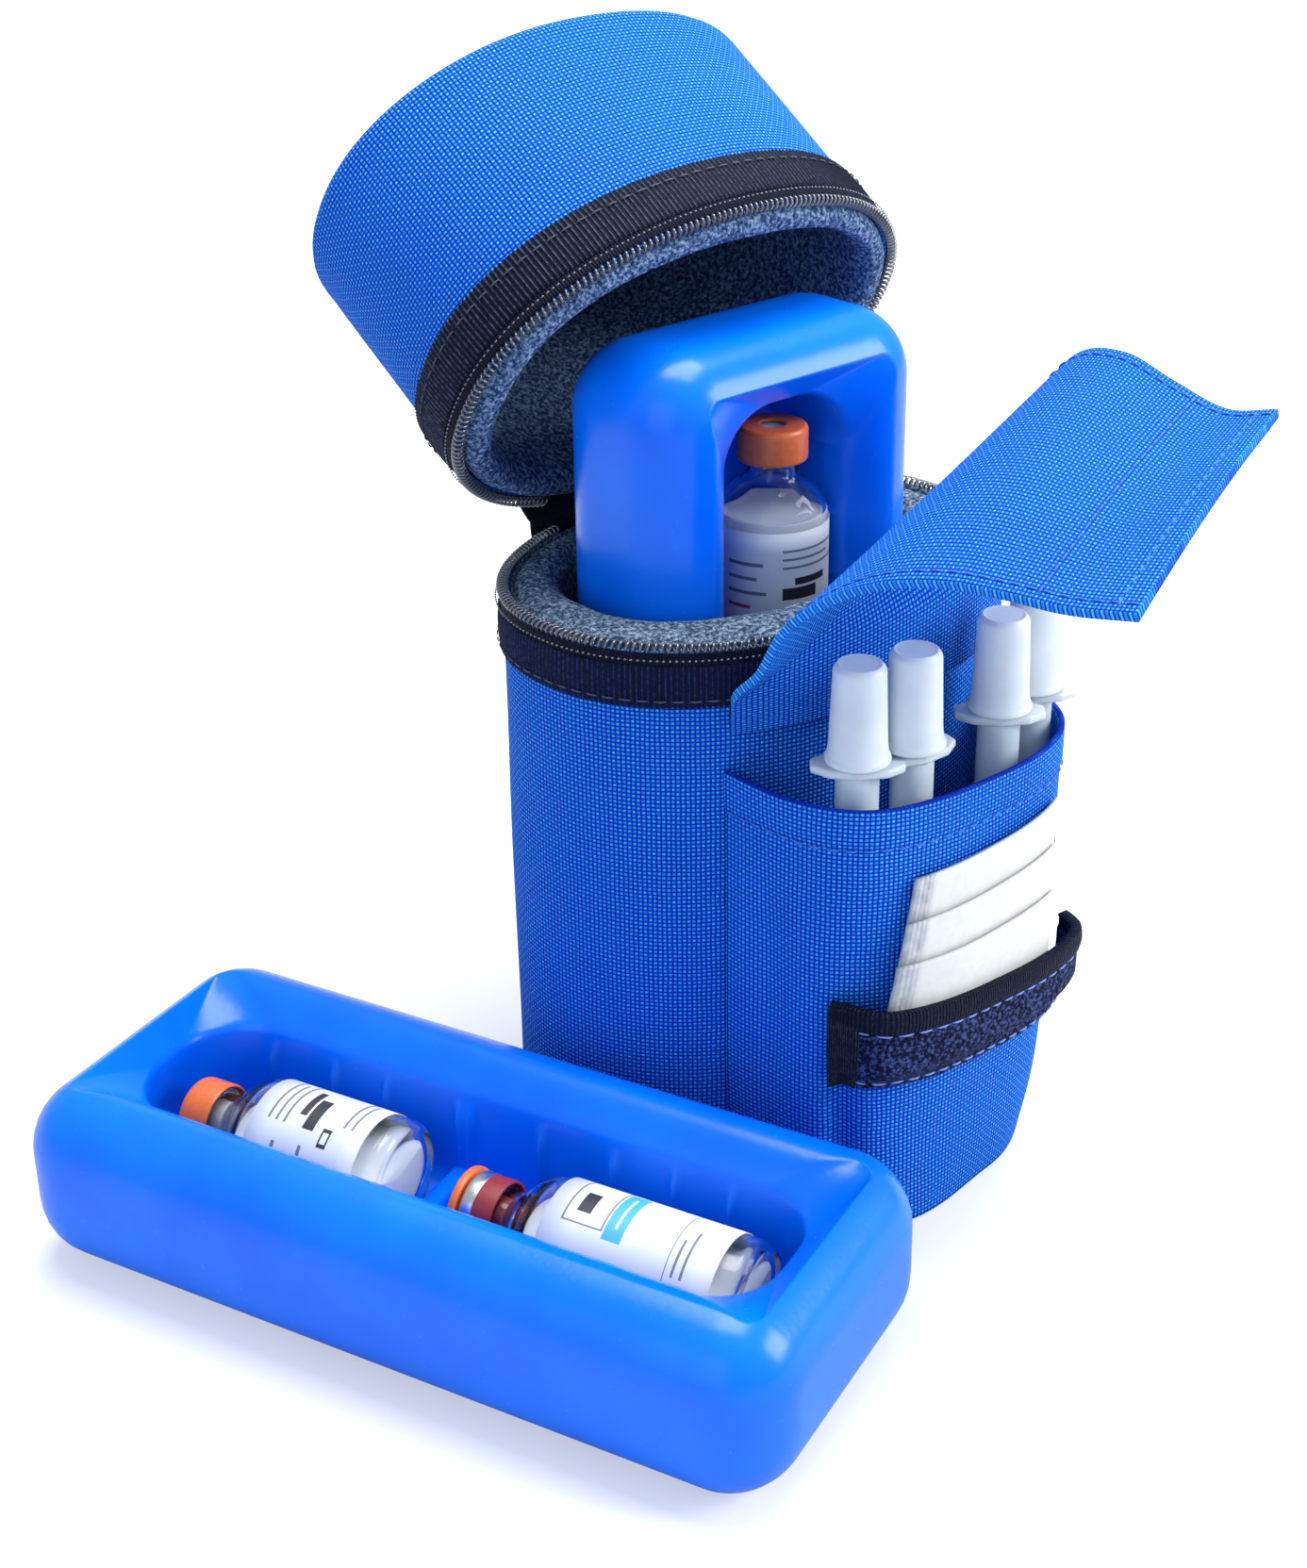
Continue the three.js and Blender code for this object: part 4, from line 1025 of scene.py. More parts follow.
class CASE_OT_pocket(bpy.types.Operator):
    """The syringe pocket, its loop band, binding and swab packets"""
    bl_idname = "cooling_case.pocket"
    bl_label = "Pocket"

    def execute(self, context):
        length = POCKET_PLANS[-1].length
        low = 0.8 * MM
        hem_z = POCKET_TOP - 8 * MM
        mouth_sag = 1.2 * MM

        def place(u, v):
            z = lerp(low, POCKET_TOP, v)
            swell = 0.5 * MM * noise.noise(Vector((u * 9, v * 7, 1.7)))
            hem = 0.35 * MM * ease((z - hem_z) / (1 * MM))
            sag = mouth_sag * math.sin(math.pi * u) * ease((v - 0.7) / 0.3)
            point, _ = pocket_at(u, z, CLOTH / 2 + swell * math.sin(math.pi * u) + hem)
            return point - Vector((0, 0, sag))

        bm = grid_mesh(place, 120, 90, (length, POCKET_TOP - low))
        panel = make_piece("pocket_fabric", bm, "shell_fabric", "case", ["pocket_panel"])

        def sewn(co):
            return co.z < 3 * MM or co.z > POCKET_TOP - 2 * MM or -co.y < depth_at(co.x, 2 * MM)
        settle(panel, sewn)
        thicken(panel, CLOTH)

        def hem_row(share):
            point, out = pocket_at(share, hem_z, CLOTH / 2 + 0.3 * MM)
            return point - Vector((0, 0, mouth_sag * math.sin(math.pi * share))), out
        make_piece("pocket_hem_stitches", stitch_mesh(hem_row, length), "shell_fabric", "case",
                   finish="blue_thread")

        floor = grid_mesh(self.floor_point, 40, 12, (70 * MM, 25 * MM))
        bmesh.ops.recalc_face_normals(floor, faces=floor.faces)
        floor = make_piece("pocket_floor_fabric", floor, "shell_fabric", "case", ["pocket_floor"])
        thicken(floor, CLOTH, 0)
        self.band()
        self.packets()
        return {"FINISHED"}

    def floor_point(self, u, v):
        front, _ = pocket_at(lerp(0.02, 0.98, u), 1.4 * MM, -CLOTH)
        wall = Vector((front.x, -depth_at(front.x, 0.5 * MM), front.z))
        return wall.lerp(front, v)

    def band(self):
        left, right = pocket_share(-30.5 * MM), pocket_share(27 * MM)
        sag = 3 * MM
        span = (right - left) * POCKET_PLANS[-1].length
        seat = CLOTH + FIT
        stand = seat + 3.9 * MM
        low, high = 36.4 * MM, 51.8 * MM

        def lift(share, z):
            edge = min(share - left, (right - share) * 1.6 + 0.02) / (right - left)
            return lerp(seat, stand, ease(edge / 0.16) * ease((z - low) / (6 * MM)))

        def place(u, v):
            share = lerp(left, right, u)
            z = lerp(low, high, v) - sag * u
            return pocket_at(share, z, lift(share, z))[0]

        bm = grid_mesh(place, 150, 24, (span, high - low))
        band = make_piece("loop_band_pile", bm, "loop_pile", "case", ["loop_band"])
        thicken(band, 1.6 * MM, 1)

        def binding(u, v):
            share = lerp(left, right, u)
            z = lerp(high - 0.6 * MM, high + 2.9 * MM, v) - sag * u
            return pocket_at(share, z, lift(share, z) + 0.3 * MM * math.sin(math.pi * v))[0]
        bm = grid_mesh(binding, 150, 6, (span, 3.5 * MM))
        edge = make_piece("band_binding_tape", bm, "zip_tape", "case", ["band_binding"], "zip_ground")
        thicken(edge, 2.1 * MM, 1)

        def tab(u, v):
            share = left + u * 5 * MM / POCKET_PLANS[-1].length - 0.004
            z = lerp(low - 0.4 * MM, high + 2.6 * MM, v)
            return pocket_at(share, z, lift(share, z) + 1.75 * MM)[0]
        bm = grid_mesh(tab, 12, 30, (18 * MM, 5 * MM))
        # The end tape takes the lid's lit copy of the grosgrain, with its painted light.
        end = make_piece("band_end_tape", bm, "zip_tape", "case", finish="lid_tape")
        thicken(end, 0.6 * MM, 1)

        for name, z in (("upper", high - 1.6 * MM), ("lower", low + 1.2 * MM)):
            def sewn(share, z=z):
                at = lerp(left, right, share)
                return pocket_at(at, z - sag * share, lift(at, z) + 1.7 * MM)
            make_piece(f"band_{name}_stitches", stitch_mesh(sewn, span), "zip_tape", "case",
                       finish="pale_thread")

    def packets(self):
        length = POCKET_PLANS[-1].length
        left, right = pocket_share(-18.5 * MM), pocket_share(20.5 * MM)
        foot, top = 39.6 * MM, 81 * MM
        fan = 6 * MM
        # Heights of each packet's upper corners, left and right
        heads = ((79.5, 82.0), (71.0, 73.6), (63.0, 64.7))
        for i, (head_left, head_right) in enumerate(heads):
            lift = CLOTH + 0.7 * MM + 1.3 * MM * i

            def place(u, v):
                high = lerp(head_left, head_right, u) * MM
                z = lerp(foot, high, v)
                shift = (fan * (top - z) / (41 * MM) + 0.8 * MM * i) / length
                lean = 0.7 * MM * v * math.sin(math.pi * u)
                return pocket_at(lerp(left, right, u) - shift, z, lift + lean)[0]

            bm = grid_mesh(place, 40, 30, (39 * MM, 42 * MM))
            packet = make_piece(f"swab_packet_{i + 1}_paper", bm, "packet_paper",
                                f"swab_{i + 1}", [f"swab_packet_{i + 1}"])
            thicken(packet, 0.8 * MM, 0)


# The flap

FLAP_HALF = 36.5 * MM
# Its side edges from the seam under the rim to the free end, as how far out and how high
LEFT_EDGE = (
    (31.9, 104), (33.5, 110), (40.5, 118), (47, 128.5), (58, 137.5), (70, 144), (84, 148.5), (97, 150.5),
    (110, 152), (123, 155),
)
RIGHT_EDGE = (
    (31.9, 104), (33.2, 116), (34.8, 129), (37.5, 143), (42.5, 155), (50.5, 164.5), (61, 166.8), (72, 164),
    (84, 161.5), (95, 164),
)
FLAP_LENGTH = 112 * MM
# Share of the length where its two pieces meet
FLAP_SPLIT = 0.345
STITCH_LIFT = 0.8 * MM


def flap_at(u, v):
    """A point of the flap: u from its left edge to its right, v from the seam to the free end."""
    left = along([Vector(p) for p in LEFT_EDGE], v) * MM
    right = along([Vector(p) for p in RIGHT_EDGE], v) * MM
    x = lerp(-FLAP_HALF, FLAP_HALF, u)
    out, up = left.lerp(right, u)
    wall = depth_at(x, TAPE_OUT + 1.7 * MM)
    over_rim = ease((up - RIM_Z) / (9 * MM))
    out = max(lerp(wall, out, ease(v / 0.22)), lerp(wall, out, over_rim))
    bow = 1.5 * MM * math.sin(math.pi * u) * ease(v / 0.3)
    return Vector((x, -out, up + bow))


def flap_normal(u, v):
    step = 1e-3
    side = flap_at(min(u + step, 1), v) - flap_at(max(u - step, 0), v)
    ahead = flap_at(u, min(v + step, 1)) - flap_at(u, max(v - step, 0))
    return ahead.cross(side).normalized()


class CASE_OT_flap(bpy.types.Operator):
    """The long flap over the syringes, its seams and its hook strip"""
    bl_idname = "cooling_case.flap"
    bl_label = "Flap"

    def execute(self, context):
        split = flap_at(0.5, FLAP_SPLIT)
        across = flap_at(1, FLAP_SPLIT) - flap_at(0, FLAP_SPLIT)

        def square(step):
            return step - across * (step.dot(across) / across.length_squared)
        lower = square(split - Vector((0, -40 * MM, 110 * MM)))
        upper = square(flap_at(0.5, FLAP_SPLIT + 0.22) - split)
        pieces = (
            ("flap_root_fabric", 0.0, FLAP_SPLIT, ["flap_root", "flap_over"], ("case", "flap_over"),
             (split - lower, split)),
            ("flap_end_fabric", FLAP_SPLIT, 1.0, ["flap_end"], ("flap_over", "flap_end"),
             (split, split + upper)),
        )
        for name, low, high, nodes, bodies, ends in pieces:
            length = FLAP_LENGTH * (high - low)

            def place(u, v):
                return flap_at(u, lerp(low, high, v))
            bm = grid_mesh(place, 90, round(length / (0.9 * MM)), (2 * FLAP_HALF, length))
            cloth = make_piece(name, bm, "shell_fabric", replaces=nodes)
            thicken(cloth, 1.5 * MM, 0)
            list(bodies)
            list(ends)
            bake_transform(cloth)

            def hem(share, u):
                v = lerp(low, high, share)
                normal = flap_normal(u, v)
                return flap_at(u, v) + normal * STITCH_LIFT, normal
            for side, u in (("left", 0.035), ("right", 0.965)):
                bm = stitch_mesh(lambda s: hem(s, u), length)
                row = make_piece(f"{name}_{side}_stitches", bm, "shell_fabric", finish="blue_thread")
                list(bodies)
                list(ends)
                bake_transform(row)
        for i, v in enumerate((0.965, 0.83)):
            def row_at(share):
                normal = flap_normal(share, v)
                return flap_at(lerp(0.02, 0.98, share), v) + normal * STITCH_LIFT, normal
            bm = stitch_mesh(row_at, 2 * FLAP_HALF)
            make_piece(f"flap_cross_stitches_{i + 1}", bm, "shell_fabric", "flap_end", finish="blue_thread")

        def hook(u, v):
            u = lerp(0.03, 0.97, u)
            v = lerp(0.84, 0.985, v)
            return flap_at(u, v) - flap_normal(u, v) * 1.6 * MM
        bm = grid_mesh(hook, 70, 16, (2 * FLAP_HALF, 16 * MM))
        strip = make_piece("flap_hook_pile", bm, "loop_pile", "flap_end", ["flap_hook_strip"])
        thicken(strip, 1.1 * MM, 0)
        return {"FINISHED"}


# Trays


def rect_point(half_length, half_width, corner, place):
    """A point on a rounded rectangle; place runs 0 to 8 over its four sides and four corners."""
    part, t = int(place) % 8, place % 1
    corner = min(corner, half_length, half_width)
    inner_x, inner_y = half_length - corner, half_width - corner
    if part % 2:
        quarter = part // 2
        angle = math.pi / 2 * (quarter + t)
        sx, sy = ((1, 1), (-1, 1), (-1, -1), (1, -1))[quarter]
        return Vector((sx * inner_x + corner * math.cos(angle), sy * inner_y + corner * math.sin(angle)))
    if part == 0:
        return Vector((half_length, lerp(-inner_y, inner_y, t)))
    if part == 2:
        return Vector((lerp(inner_x, -inner_x, t), half_width))
    if part == 4:
        return Vector((-half_length, lerp(inner_y, -inner_y, t)))
    return Vector((lerp(-inner_x, inner_x, t), -half_width))


# Columns of the tray's skin on an end, a corner, a long side and the next corner
TRAY_COLUMNS = (22, 12, 200, 12)
# Places along the recess, as shares of its half length
RIB_SHARES = (-0.81, -0.59, -0.405, 0.116, 0.347, 0.54, 0.713)
STOP_X = -9.3 * MM
STOP_WALL = 4 * MM
STOP_TOP = 14.7 * MM


def tray_columns():
    places = []
    for part in range(8):
        count = TRAY_COLUMNS[part % 4]
        places += [part + i / count for i in range(count)]
    return places


def sideness(place):
    """One on a long side of the tray, zero on an end, between them at a corner."""
    part, t = int(place) % 8, place % 1
    if part % 2 == 0:
        return 1.0 if part % 4 == 2 else 0.0
    return t if part % 4 == 1 else 1 - t


def crown_height(point):
    """Height of the tray's cushion top, which rounds down to its sides."""
    round_in = 13 * MM
    corner = 14 * MM
    qx, qy = abs(point.x) - TRAY_HALF_LENGTH + corner, abs(point.y) - TRAY_HALF_WIDTH + corner
    outside = math.hypot(max(qx, 0), max(qy, 0)) + min(max(qx, qy), 0) - corner
    inside = min(max(-outside, 0), round_in)
    return TRAY_DEPTH - round_in + math.sqrt(max(0.0, round_in ** 2 - (round_in - inside) ** 2))


def tray_rows():
    """Rings of the tray's skin from its foot over its top to the recess floor.

    Each is half length, half width, corner, height and share of the slope into the recess. The height is
    worked out later where it is None.
    """
    foot = 14 * MM
    turn_in = 0.35 * MM
    outer = (TRAY_HALF_LENGTH, TRAY_HALF_WIDTH, foot)
    mouth = (MOUTH_HALF_LENGTH, MOUTH_HALF_WIDTH, MOUTH_CORNER)
    shoulder = (RECESS_HALF_LENGTH, RECESS_HALF_WIDTH, RECESS_CORNER)
    rows = []
    for i in range(11):
        angle = math.pi / 2 * i / 10
        inset = foot * (1 - math.sin(angle))
        rows.append((TRAY_HALF_LENGTH - inset, TRAY_HALF_WIDTH - inset, max(foot - inset, 1 * MM),
                     foot * (1 - math.cos(angle)), None))
    rows += [(*outer, z * MM, None) for z in (17.5, 21)]
    for i in range(13):
        t = 1 - math.cos(math.pi / 2 * i / 12)
        rows.append((*[lerp(a, b + turn_in, t) for a, b in zip(outer, mouth)], None, None))
    for t in (0, 0.05, 0.15, 0.3, 0.45, 0.6, 0.75, 0.88, 0.96):
        rows.append((*[lerp(a, b, t) for a, b in zip(mouth, shoulder)], None, t))
    for inset, z in (
        (0.1, 30.6), (0.35, 29.8), (0.55, 28.4), (0.7, 26), (0.85, 22.5), (1.0, 19), (1.15, 15.5),
        (1.5, 12.8), (2.2, 11.0), (3.4, 9.8), (5.0, 9.3), (6.5, 9.2),
    ):
        inset = inset * MM
        rows.append((*[size - inset * share for size, share in zip(shoulder, (1, 1, 0.8))], z * MM, None))
    return rows


def tray_mesh():
    columns = tray_columns()
    rows = tray_rows()
    ribs = [(share * RECESS_HALF_LENGTH, 1.5 * MM, 1.0 * MM) for share in RIB_SHARES]
    ribs += [(STOP_X + side * 1.1 * MM, 1.5 * MM, 1.3 * MM) for side in (-1, 1)]

    def place(u, v):
        half_length, half_width, corner, z, slope = rows[min(round(v * (len(rows) - 1)), len(rows) - 1)]
        column = columns[round(u * len(columns)) % len(columns)]
        point = rect_point(half_length, half_width, corner, column)
        if slope is not None:
            edge = rect_point(MOUTH_HALF_LENGTH, MOUTH_HALF_WIDTH, MOUTH_CORNER, column)
            z = lerp(crown_height(edge), RECESS_SHOULDER, slope ** lerp(1.0, 1.9, sideness(column)))
        elif z is None:
            z = crown_height(point)
        elif half_width < RECESS_HALF_WIDTH and z > RECESS_FLOOR + 0.2 * MM:
            # Ribs that steady the vials, and the pair over the stop
            fade = ease((28.6 * MM - z) / (1.5 * MM))
            for x, reach, width in ribs:
                away = (point.x - x) / width
                if abs(point.y) > 8 * MM and abs(away) < 3:
                    point.y -= math.copysign(reach * math.exp(-away ** 2 * 1.4) * fade, point.y)
        return Vector((point.x, point.y, z))

    bm = grid_mesh(place, len(columns), len(rows) - 1, (400 * MM, 100 * MM), merge=True)
    fill_holes(bm)
    bmesh.ops.recalc_face_normals(bm, faces=bm.faces)
    stop = bmesh.ops.create_cube(bm, size=1)["verts"]
    low = RECESS_FLOOR - 1 * MM
    size = Matrix.Diagonal((STOP_WALL, 2 * RECESS_HALF_WIDTH - 2.6 * MM, STOP_TOP - low, 1))
    bmesh.ops.transform(bm, matrix=Matrix.Translation((STOP_X, 0, (low + STOP_TOP) / 2)) @ size, verts=stop)
    edges = list({edge for vert in stop for edge in vert.link_edges})
    bmesh.ops.bevel(bm, geom=edges, offset=1.0 * MM, affect="EDGES", segments=3, profile=0.5, material=-1)
    return bm


class CASE_OT_trays(bpy.types.Operator):
    """The standing tray and the spare one"""
    bl_idname = "cooling_case.trays"
    bl_label = "Cooling Trays"

    def execute(self, context):
        for name, node, body, place in (("tray_standing", "cooling_tray", "tray", STANDING),
                                        ("tray_lying", "spare_tray", "spare_tray", LYING)):
            make_piece(name, tray_mesh(), "tray_plastic", body, [node], transform=place)
        return {"FINISHED"}


# Vials, modelled standing on their base

SHORT_RADIUS = 11.2 * MM
SHORT_LENGTH = 51 * MM
LONG_RADIUS = 10.7 * MM
LONG_LENGTH = 61 * MM
UPPER_BASE = -11.6 * MM
LOWER_BASE = 63.4 * MM
GLASS = 1.1 * MM
NECK_RADIUS = 5.2 * MM
NECK_DROP = 12 * MM
SHOULDER = 6.2 * MM
LIP_RADIUS = 6.2 * MM
BORE = 3.4 * MM
SEAL_RADIUS = 7.1 * MM
SEAL_HEIGHT = 8.1 * MM
LABEL_LOW = 5.5 * MM
LABEL_DROP = 20.5 * MM
LIP_HEIGHT = 3.6 * MM
SEAL_TOP_DROP = 1.5 * MM
CRIMP = 6.6 * MM
SHORT_CRIMP = 2.6 * MM


def vial_place(tray, base, radius, side, lift):
    """Where a vial lies in a tray's recess: its base at base, its neck towards the tray's low end."""
    seat = RECESS_FLOOR + radius + 0.7 * MM + lift
    basis = Matrix(((0, 0, -1, 0), (-1, 0, 0, 0), (0, 1, 0, 0), (0, 0, 0, 1)))
    return tray @ Matrix.Translation((base, side, seat)) @ basis


def glass_profile(r, length):
    """The bottle's wall, outside and in."""
    neck = length - NECK_DROP
    top = neck - SHOULDER
    lip = length - SEAL_HEIGHT
    lip_top = lip + LIP_HEIGHT
    outer = rounded([
        (0, 0.8 * MM), (r * 0.7, 0.5 * MM), (r - 1.5 * MM, 0), (r, 1.6 * MM), (r, top),
        (r - 2.6 * MM, top + 4.2 * MM), (NECK_RADIUS + 0.1 * MM, neck), (NECK_RADIUS, lip),
        (LIP_RADIUS, lip + 0.4 * MM), (LIP_RADIUS, lip_top), (BORE, lip_top),
    ], 2.2 * MM, 5)
    inner = rounded([
        (BORE, lip_top), (BORE, neck), (r - GLASS - 2.8 * MM, top + 3.2 * MM), (r - GLASS, top),
        (r - GLASS, 2.8 * MM), (r - 3 * MM, 1.9 * MM), (0, 2.3 * MM),
    ], 1.6 * MM, 5)
    return outer[:-1] + inner


def liquid_mesh(radius, length, lying):
    """The insulin, level with the world when the vial lies or stands."""
    r = radius - GLASS + 0.05 * MM
    top = length - NECK_DROP - SHOULDER
    if lying:
        high = top + SHOULDER - 0.6 * MM
        profile = [(0, 2.2 * MM), (r - 2 * MM, 1.9 * MM), (r, 3.0 * MM), (r, top),
                   (r - 2.8 * MM, top + 3.2 * MM), (BORE - 0.1 * MM, high), (0, high)]
    else:
        level = top * 0.96
        profile = [(0, 2.2 * MM), (r - 2 * MM, 1.9 * MM), (r, 3.0 * MM), (r, level + 0.6 * MM),
                   (r - 1.2 * MM, level), (0, level)]
    bm = turned_mesh(rounded(profile, 1.0 * MM, 3))
    if lying:
        bmesh.ops.bisect_plane(bm, geom=bm.verts[:] + bm.edges[:] + bm.faces[:], plane_co=(0, radius / 4, 0),
                               plane_no=(0, 1, 0), clear_outer=True)
        fill_holes(bm)
        bmesh.ops.recalc_face_normals(bm, faces=bm.faces)
    return bm


def seal_profile(length, crimp):
    """The crimped cap; crimp is how far it reaches down."""
    top = length - SEAL_TOP_DROP
    foot = top - crimp
    inner = LIP_RADIUS + 0.3 * MM
    return rounded([
        (2.7 * MM, top - 0.6 * MM), (inner, top - 0.6 * MM), (inner, foot),
        (SEAL_RADIUS - 0.3 * MM, foot - 0.5 * MM), (SEAL_RADIUS, foot), (SEAL_RADIUS, top - 0.8 * MM),
        (SEAL_RADIUS - 0.5 * MM, top), (2.7 * MM, top), (2.7 * MM, top - 0.6 * MM),
    ], 0.5 * MM, 3)


def stopper_profile(length, skirted):
    """The plug and its head; a skirted one reaches down round the lip."""
    lip = length - SEAL_HEIGHT + LIP_HEIGHT
    plug = BORE - 0.1 * MM
    head = LIP_RADIUS - 0.2 * MM
    profile = [(0, lip - 5.2 * MM), (plug, lip - 5.2 * MM), (plug, lip), (head, lip + 0.1 * MM)]
    if skirted:
        inner, outer = LIP_RADIUS + 0.1 * MM, SEAL_RADIUS - 0.2 * MM
        foot = lip - 4.2 * MM
        profile += [(inner, lip + 0.1 * MM), (inner, foot), (outer, foot), (outer, lip + 0.2 * MM)]
    profile += [(head, lip + 2.1 * MM), (1.6 * MM, lip + 2.2 * MM), (0, lip + 1.8 * MM)]
    return rounded(profile, 0.4 * MM, 3)


class CASE_OT_vials(bpy.types.Operator):
    """Three insulin vials with liquid, stopper, seal and label"""
    bl_idname = "cooling_case.vials"
    bl_label = "Vials"

    def execute(self, context):
        short, long = (SHORT_RADIUS, SHORT_LENGTH), (LONG_RADIUS, LONG_LENGTH)
        for name, tray, base, side, lift, (radius, length) in (
            ("case_vial", STANDING, UPPER_BASE, 3.4 * MM, 2.5 * MM, short),
            ("short_vial", LYING, UPPER_BASE, -1.8 * MM, 0, short),
            ("long_vial", LYING, LOWER_BASE, -1.8 * MM, 0, long),
        ):
            place = vial_place(tray, base, radius, side, lift)
            tall = name == "long_vial"

            def put(part, bm, slot):
                ending = "clear" if part in ("glass", "liquid") else "fine"
                make_piece(f"{name}_{part}_{ending}", bm, slot, name, [f"{name}_{part}"], transform=place)
            put("glass", turned_mesh(glass_profile(radius, length), 64), "vial_glass")
            put("liquid", liquid_mesh(radius, length, tray is LYING), "insulin")
            rubber = "red_rubber" if tall else "stopper_rubber"
            put("stopper", turned_mesh(stopper_profile(length, tall)), rubber)
            put("seal", turned_mesh(seal_profile(length, SHORT_CRIMP if tall else CRIMP), 64),
                "silver_seal" if tall else "orange_seal")
            self.label(name, place, radius, length - LABEL_DROP)
            if tall:
                disc = SEAL_RADIUS + 0.3 * MM
                low, high = length - 1.2 * MM, length + 0.3 * MM
                profile = rounded([(0, low), (disc, low), (disc, high), (0, high)], 0.4 * MM, 3)
                put("flip_disc", turned_mesh(profile), "orange_seal")
        return {"FINISHED"}

    def label(self, name, place, radius, high):
        wrap = 0.9 * FULL_TURN
        around = radius + 0.15 * MM

        def point(u, v):
            angle = math.pi / 2 + wrap * (u - 0.5)
            return Vector((around * math.cos(angle), around * math.sin(angle), lerp(LABEL_LOW, high, v)))
        bm = grid_mesh(point, 72, 6, (wrap * around, high - LABEL_LOW))
        finish = f"{name}_label_print"
        marks = LONG_MARKS if name == "long_vial" else SHORT_MARKS
        MATERIALS[finish] = label_finish(finish, wrap * around, high - LABEL_LOW, marks)
        paper = make_piece(f"{name}_label_paper", bm, "label_paper", name, [f"{name}_label"], finish, place)
        thicken(paper, 0.1 * MM, 1)


# Syringes

# How far each is turned about its own length, in degrees
FLANGE_TURNS = (42, 12, 42, 42)
FLANGE_HALF_LENGTH = 9.2 * MM
FLANGE_HALF_WIDTH = 5.0 * MM
FLANGE_HEIGHT = 1.7 * MM
BARREL_RADIUS = 4.1 * MM
BARREL_BORE = 3.4 * MM
BARREL_HEIGHT = 63.6 * MM
SHIELD_HEIGHT = 34 * MM
ROD_RADIUS = 1.5 * MM
PLUNGER_RADIUS = 2.9 * MM
# The cap's outline from its foot, as radius and height in millimetres
CAP_PROFILE = (
    (0, 0), (6.2, 0), (6.2, 0.9), (5.75, 1.7), (5.5, 3.5), (4.95, 18.4), (4.1, 19.4), (3.6, 19.2), (0, 19.2),
)


class CASE_OT_syringes(bpy.types.Operator):
    """Four capped syringes in the pocket"""
    bl_idname = "cooling_case.syringes"
    bl_label = "Syringes"

    def execute(self, context):
        for i, degrees in enumerate(FLANGE_TURNS):
            name = f"syringe_{i + 1}"
            middle = box_middle(f"{name}_plunger_cap")
            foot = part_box(f"{name}_plunger_cap")[0][2]
            turn = Matrix.Rotation(-math.radians(degrees), 4, "Z")
            place = Matrix.Translation((middle.x, middle.y, foot)) @ turn

            def put(piece, bm, slot, nodes=(), finish=None):
                make_piece(f"{name}_{piece}", bm, slot, name, nodes, finish, place)
            cap = rounded([(radius * MM, height * MM) for radius, height in CAP_PROFILE], 0.9 * MM, 4)
            put("cap_frosted", turned_mesh(cap, 56), "frosted_cap", [f"{name}_plunger_cap"])
            put("barrel_clear", self.barrel(), "barrel_clear", [f"{name}_barrel"])
            put("flange_clear", self.flange(), "barrel_clear", finish="flange_clear")
            put("plunger_rod", self.plunger(), "frosted_cap")
            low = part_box(f"{name}_needle_shield")[0][2] - foot
            head = low + SHIELD_HEIGHT
            shield = rounded([(0, low), (2.4 * MM, low), (3.3 * MM, head), (0, head)], 0.8 * MM, 4)
            put("shield_fine", turned_mesh(shield, 32), "shield_orange", [f"{name}_needle_shield"])
        return {"FINISHED"}

    def barrel(self):
        """The barrel, which ends a fit below the cap; its foot is closed."""
        low = -FIT - BARREL_HEIGHT
        high = -FIT - 1.2 * MM
        profile = [(0, low), (BARREL_RADIUS, low), (BARREL_RADIUS, high), (BARREL_BORE, high),
                   (BARREL_BORE, low + 1 * MM), (0, low + 1 * MM)]
        return turned_mesh(rounded(profile, 0.5 * MM, 3), 40)

    def flange(self):
        bm = bmesh.new()
        bmesh.ops.create_circle(bm, cap_ends=True, segments=10, radius=1)
        plan = Matrix.Diagonal((FLANGE_HALF_LENGTH, FLANGE_HALF_WIDTH, 1, 1))
        bmesh.ops.transform(bm, matrix=plan, verts=bm.verts)
        grown = bmesh.ops.extrude_face_region(bm, geom=bm.faces[:])["geom"]
        moved = [item for item in grown if isinstance(item, bmesh.types.BMVert)]
        bmesh.ops.translate(bm, vec=(0, 0, FLANGE_HEIGHT), verts=moved)
        bmesh.ops.recalc_face_normals(bm, faces=bm.faces)
        bmesh.ops.translate(bm, vec=(0, 0, -FIT - 1.8 * MM), verts=bm.verts)
        bmesh.ops.bevel(bm, geom=bm.edges[:], offset=0.5 * MM, affect="EDGES", segments=3, profile=0.5,
                        material=-1)
        return bm

    def plunger(self):
        low = -FIT - BARREL_HEIGHT + 3 * MM
        high = -FIT - 2 * MM
        return turned_mesh([(0, low), (PLUNGER_RADIUS, low), (PLUNGER_RADIUS, low + 3 * MM),
                            (ROD_RADIUS, low + 4 * MM), (ROD_RADIUS, high), (0, high)], 24)


# Stage

# The camera's right and back, fitted to the outlines in the photo, and where the case lies in its view
CAMERA_RIGHT = Vector((0.746, -0.666, -0.007)).normalized()
CAMERA_BACK = Vector((-0.604, -0.681, 0.415))
CAMERA_ASIDE = 13.04 * MM
CAMERA_BELOW = 6.12 * MM
CAMERA_SHIFT = (-0.022, -0.070)
CASE_MIDDLE = Vector((0, 0, 0.1))


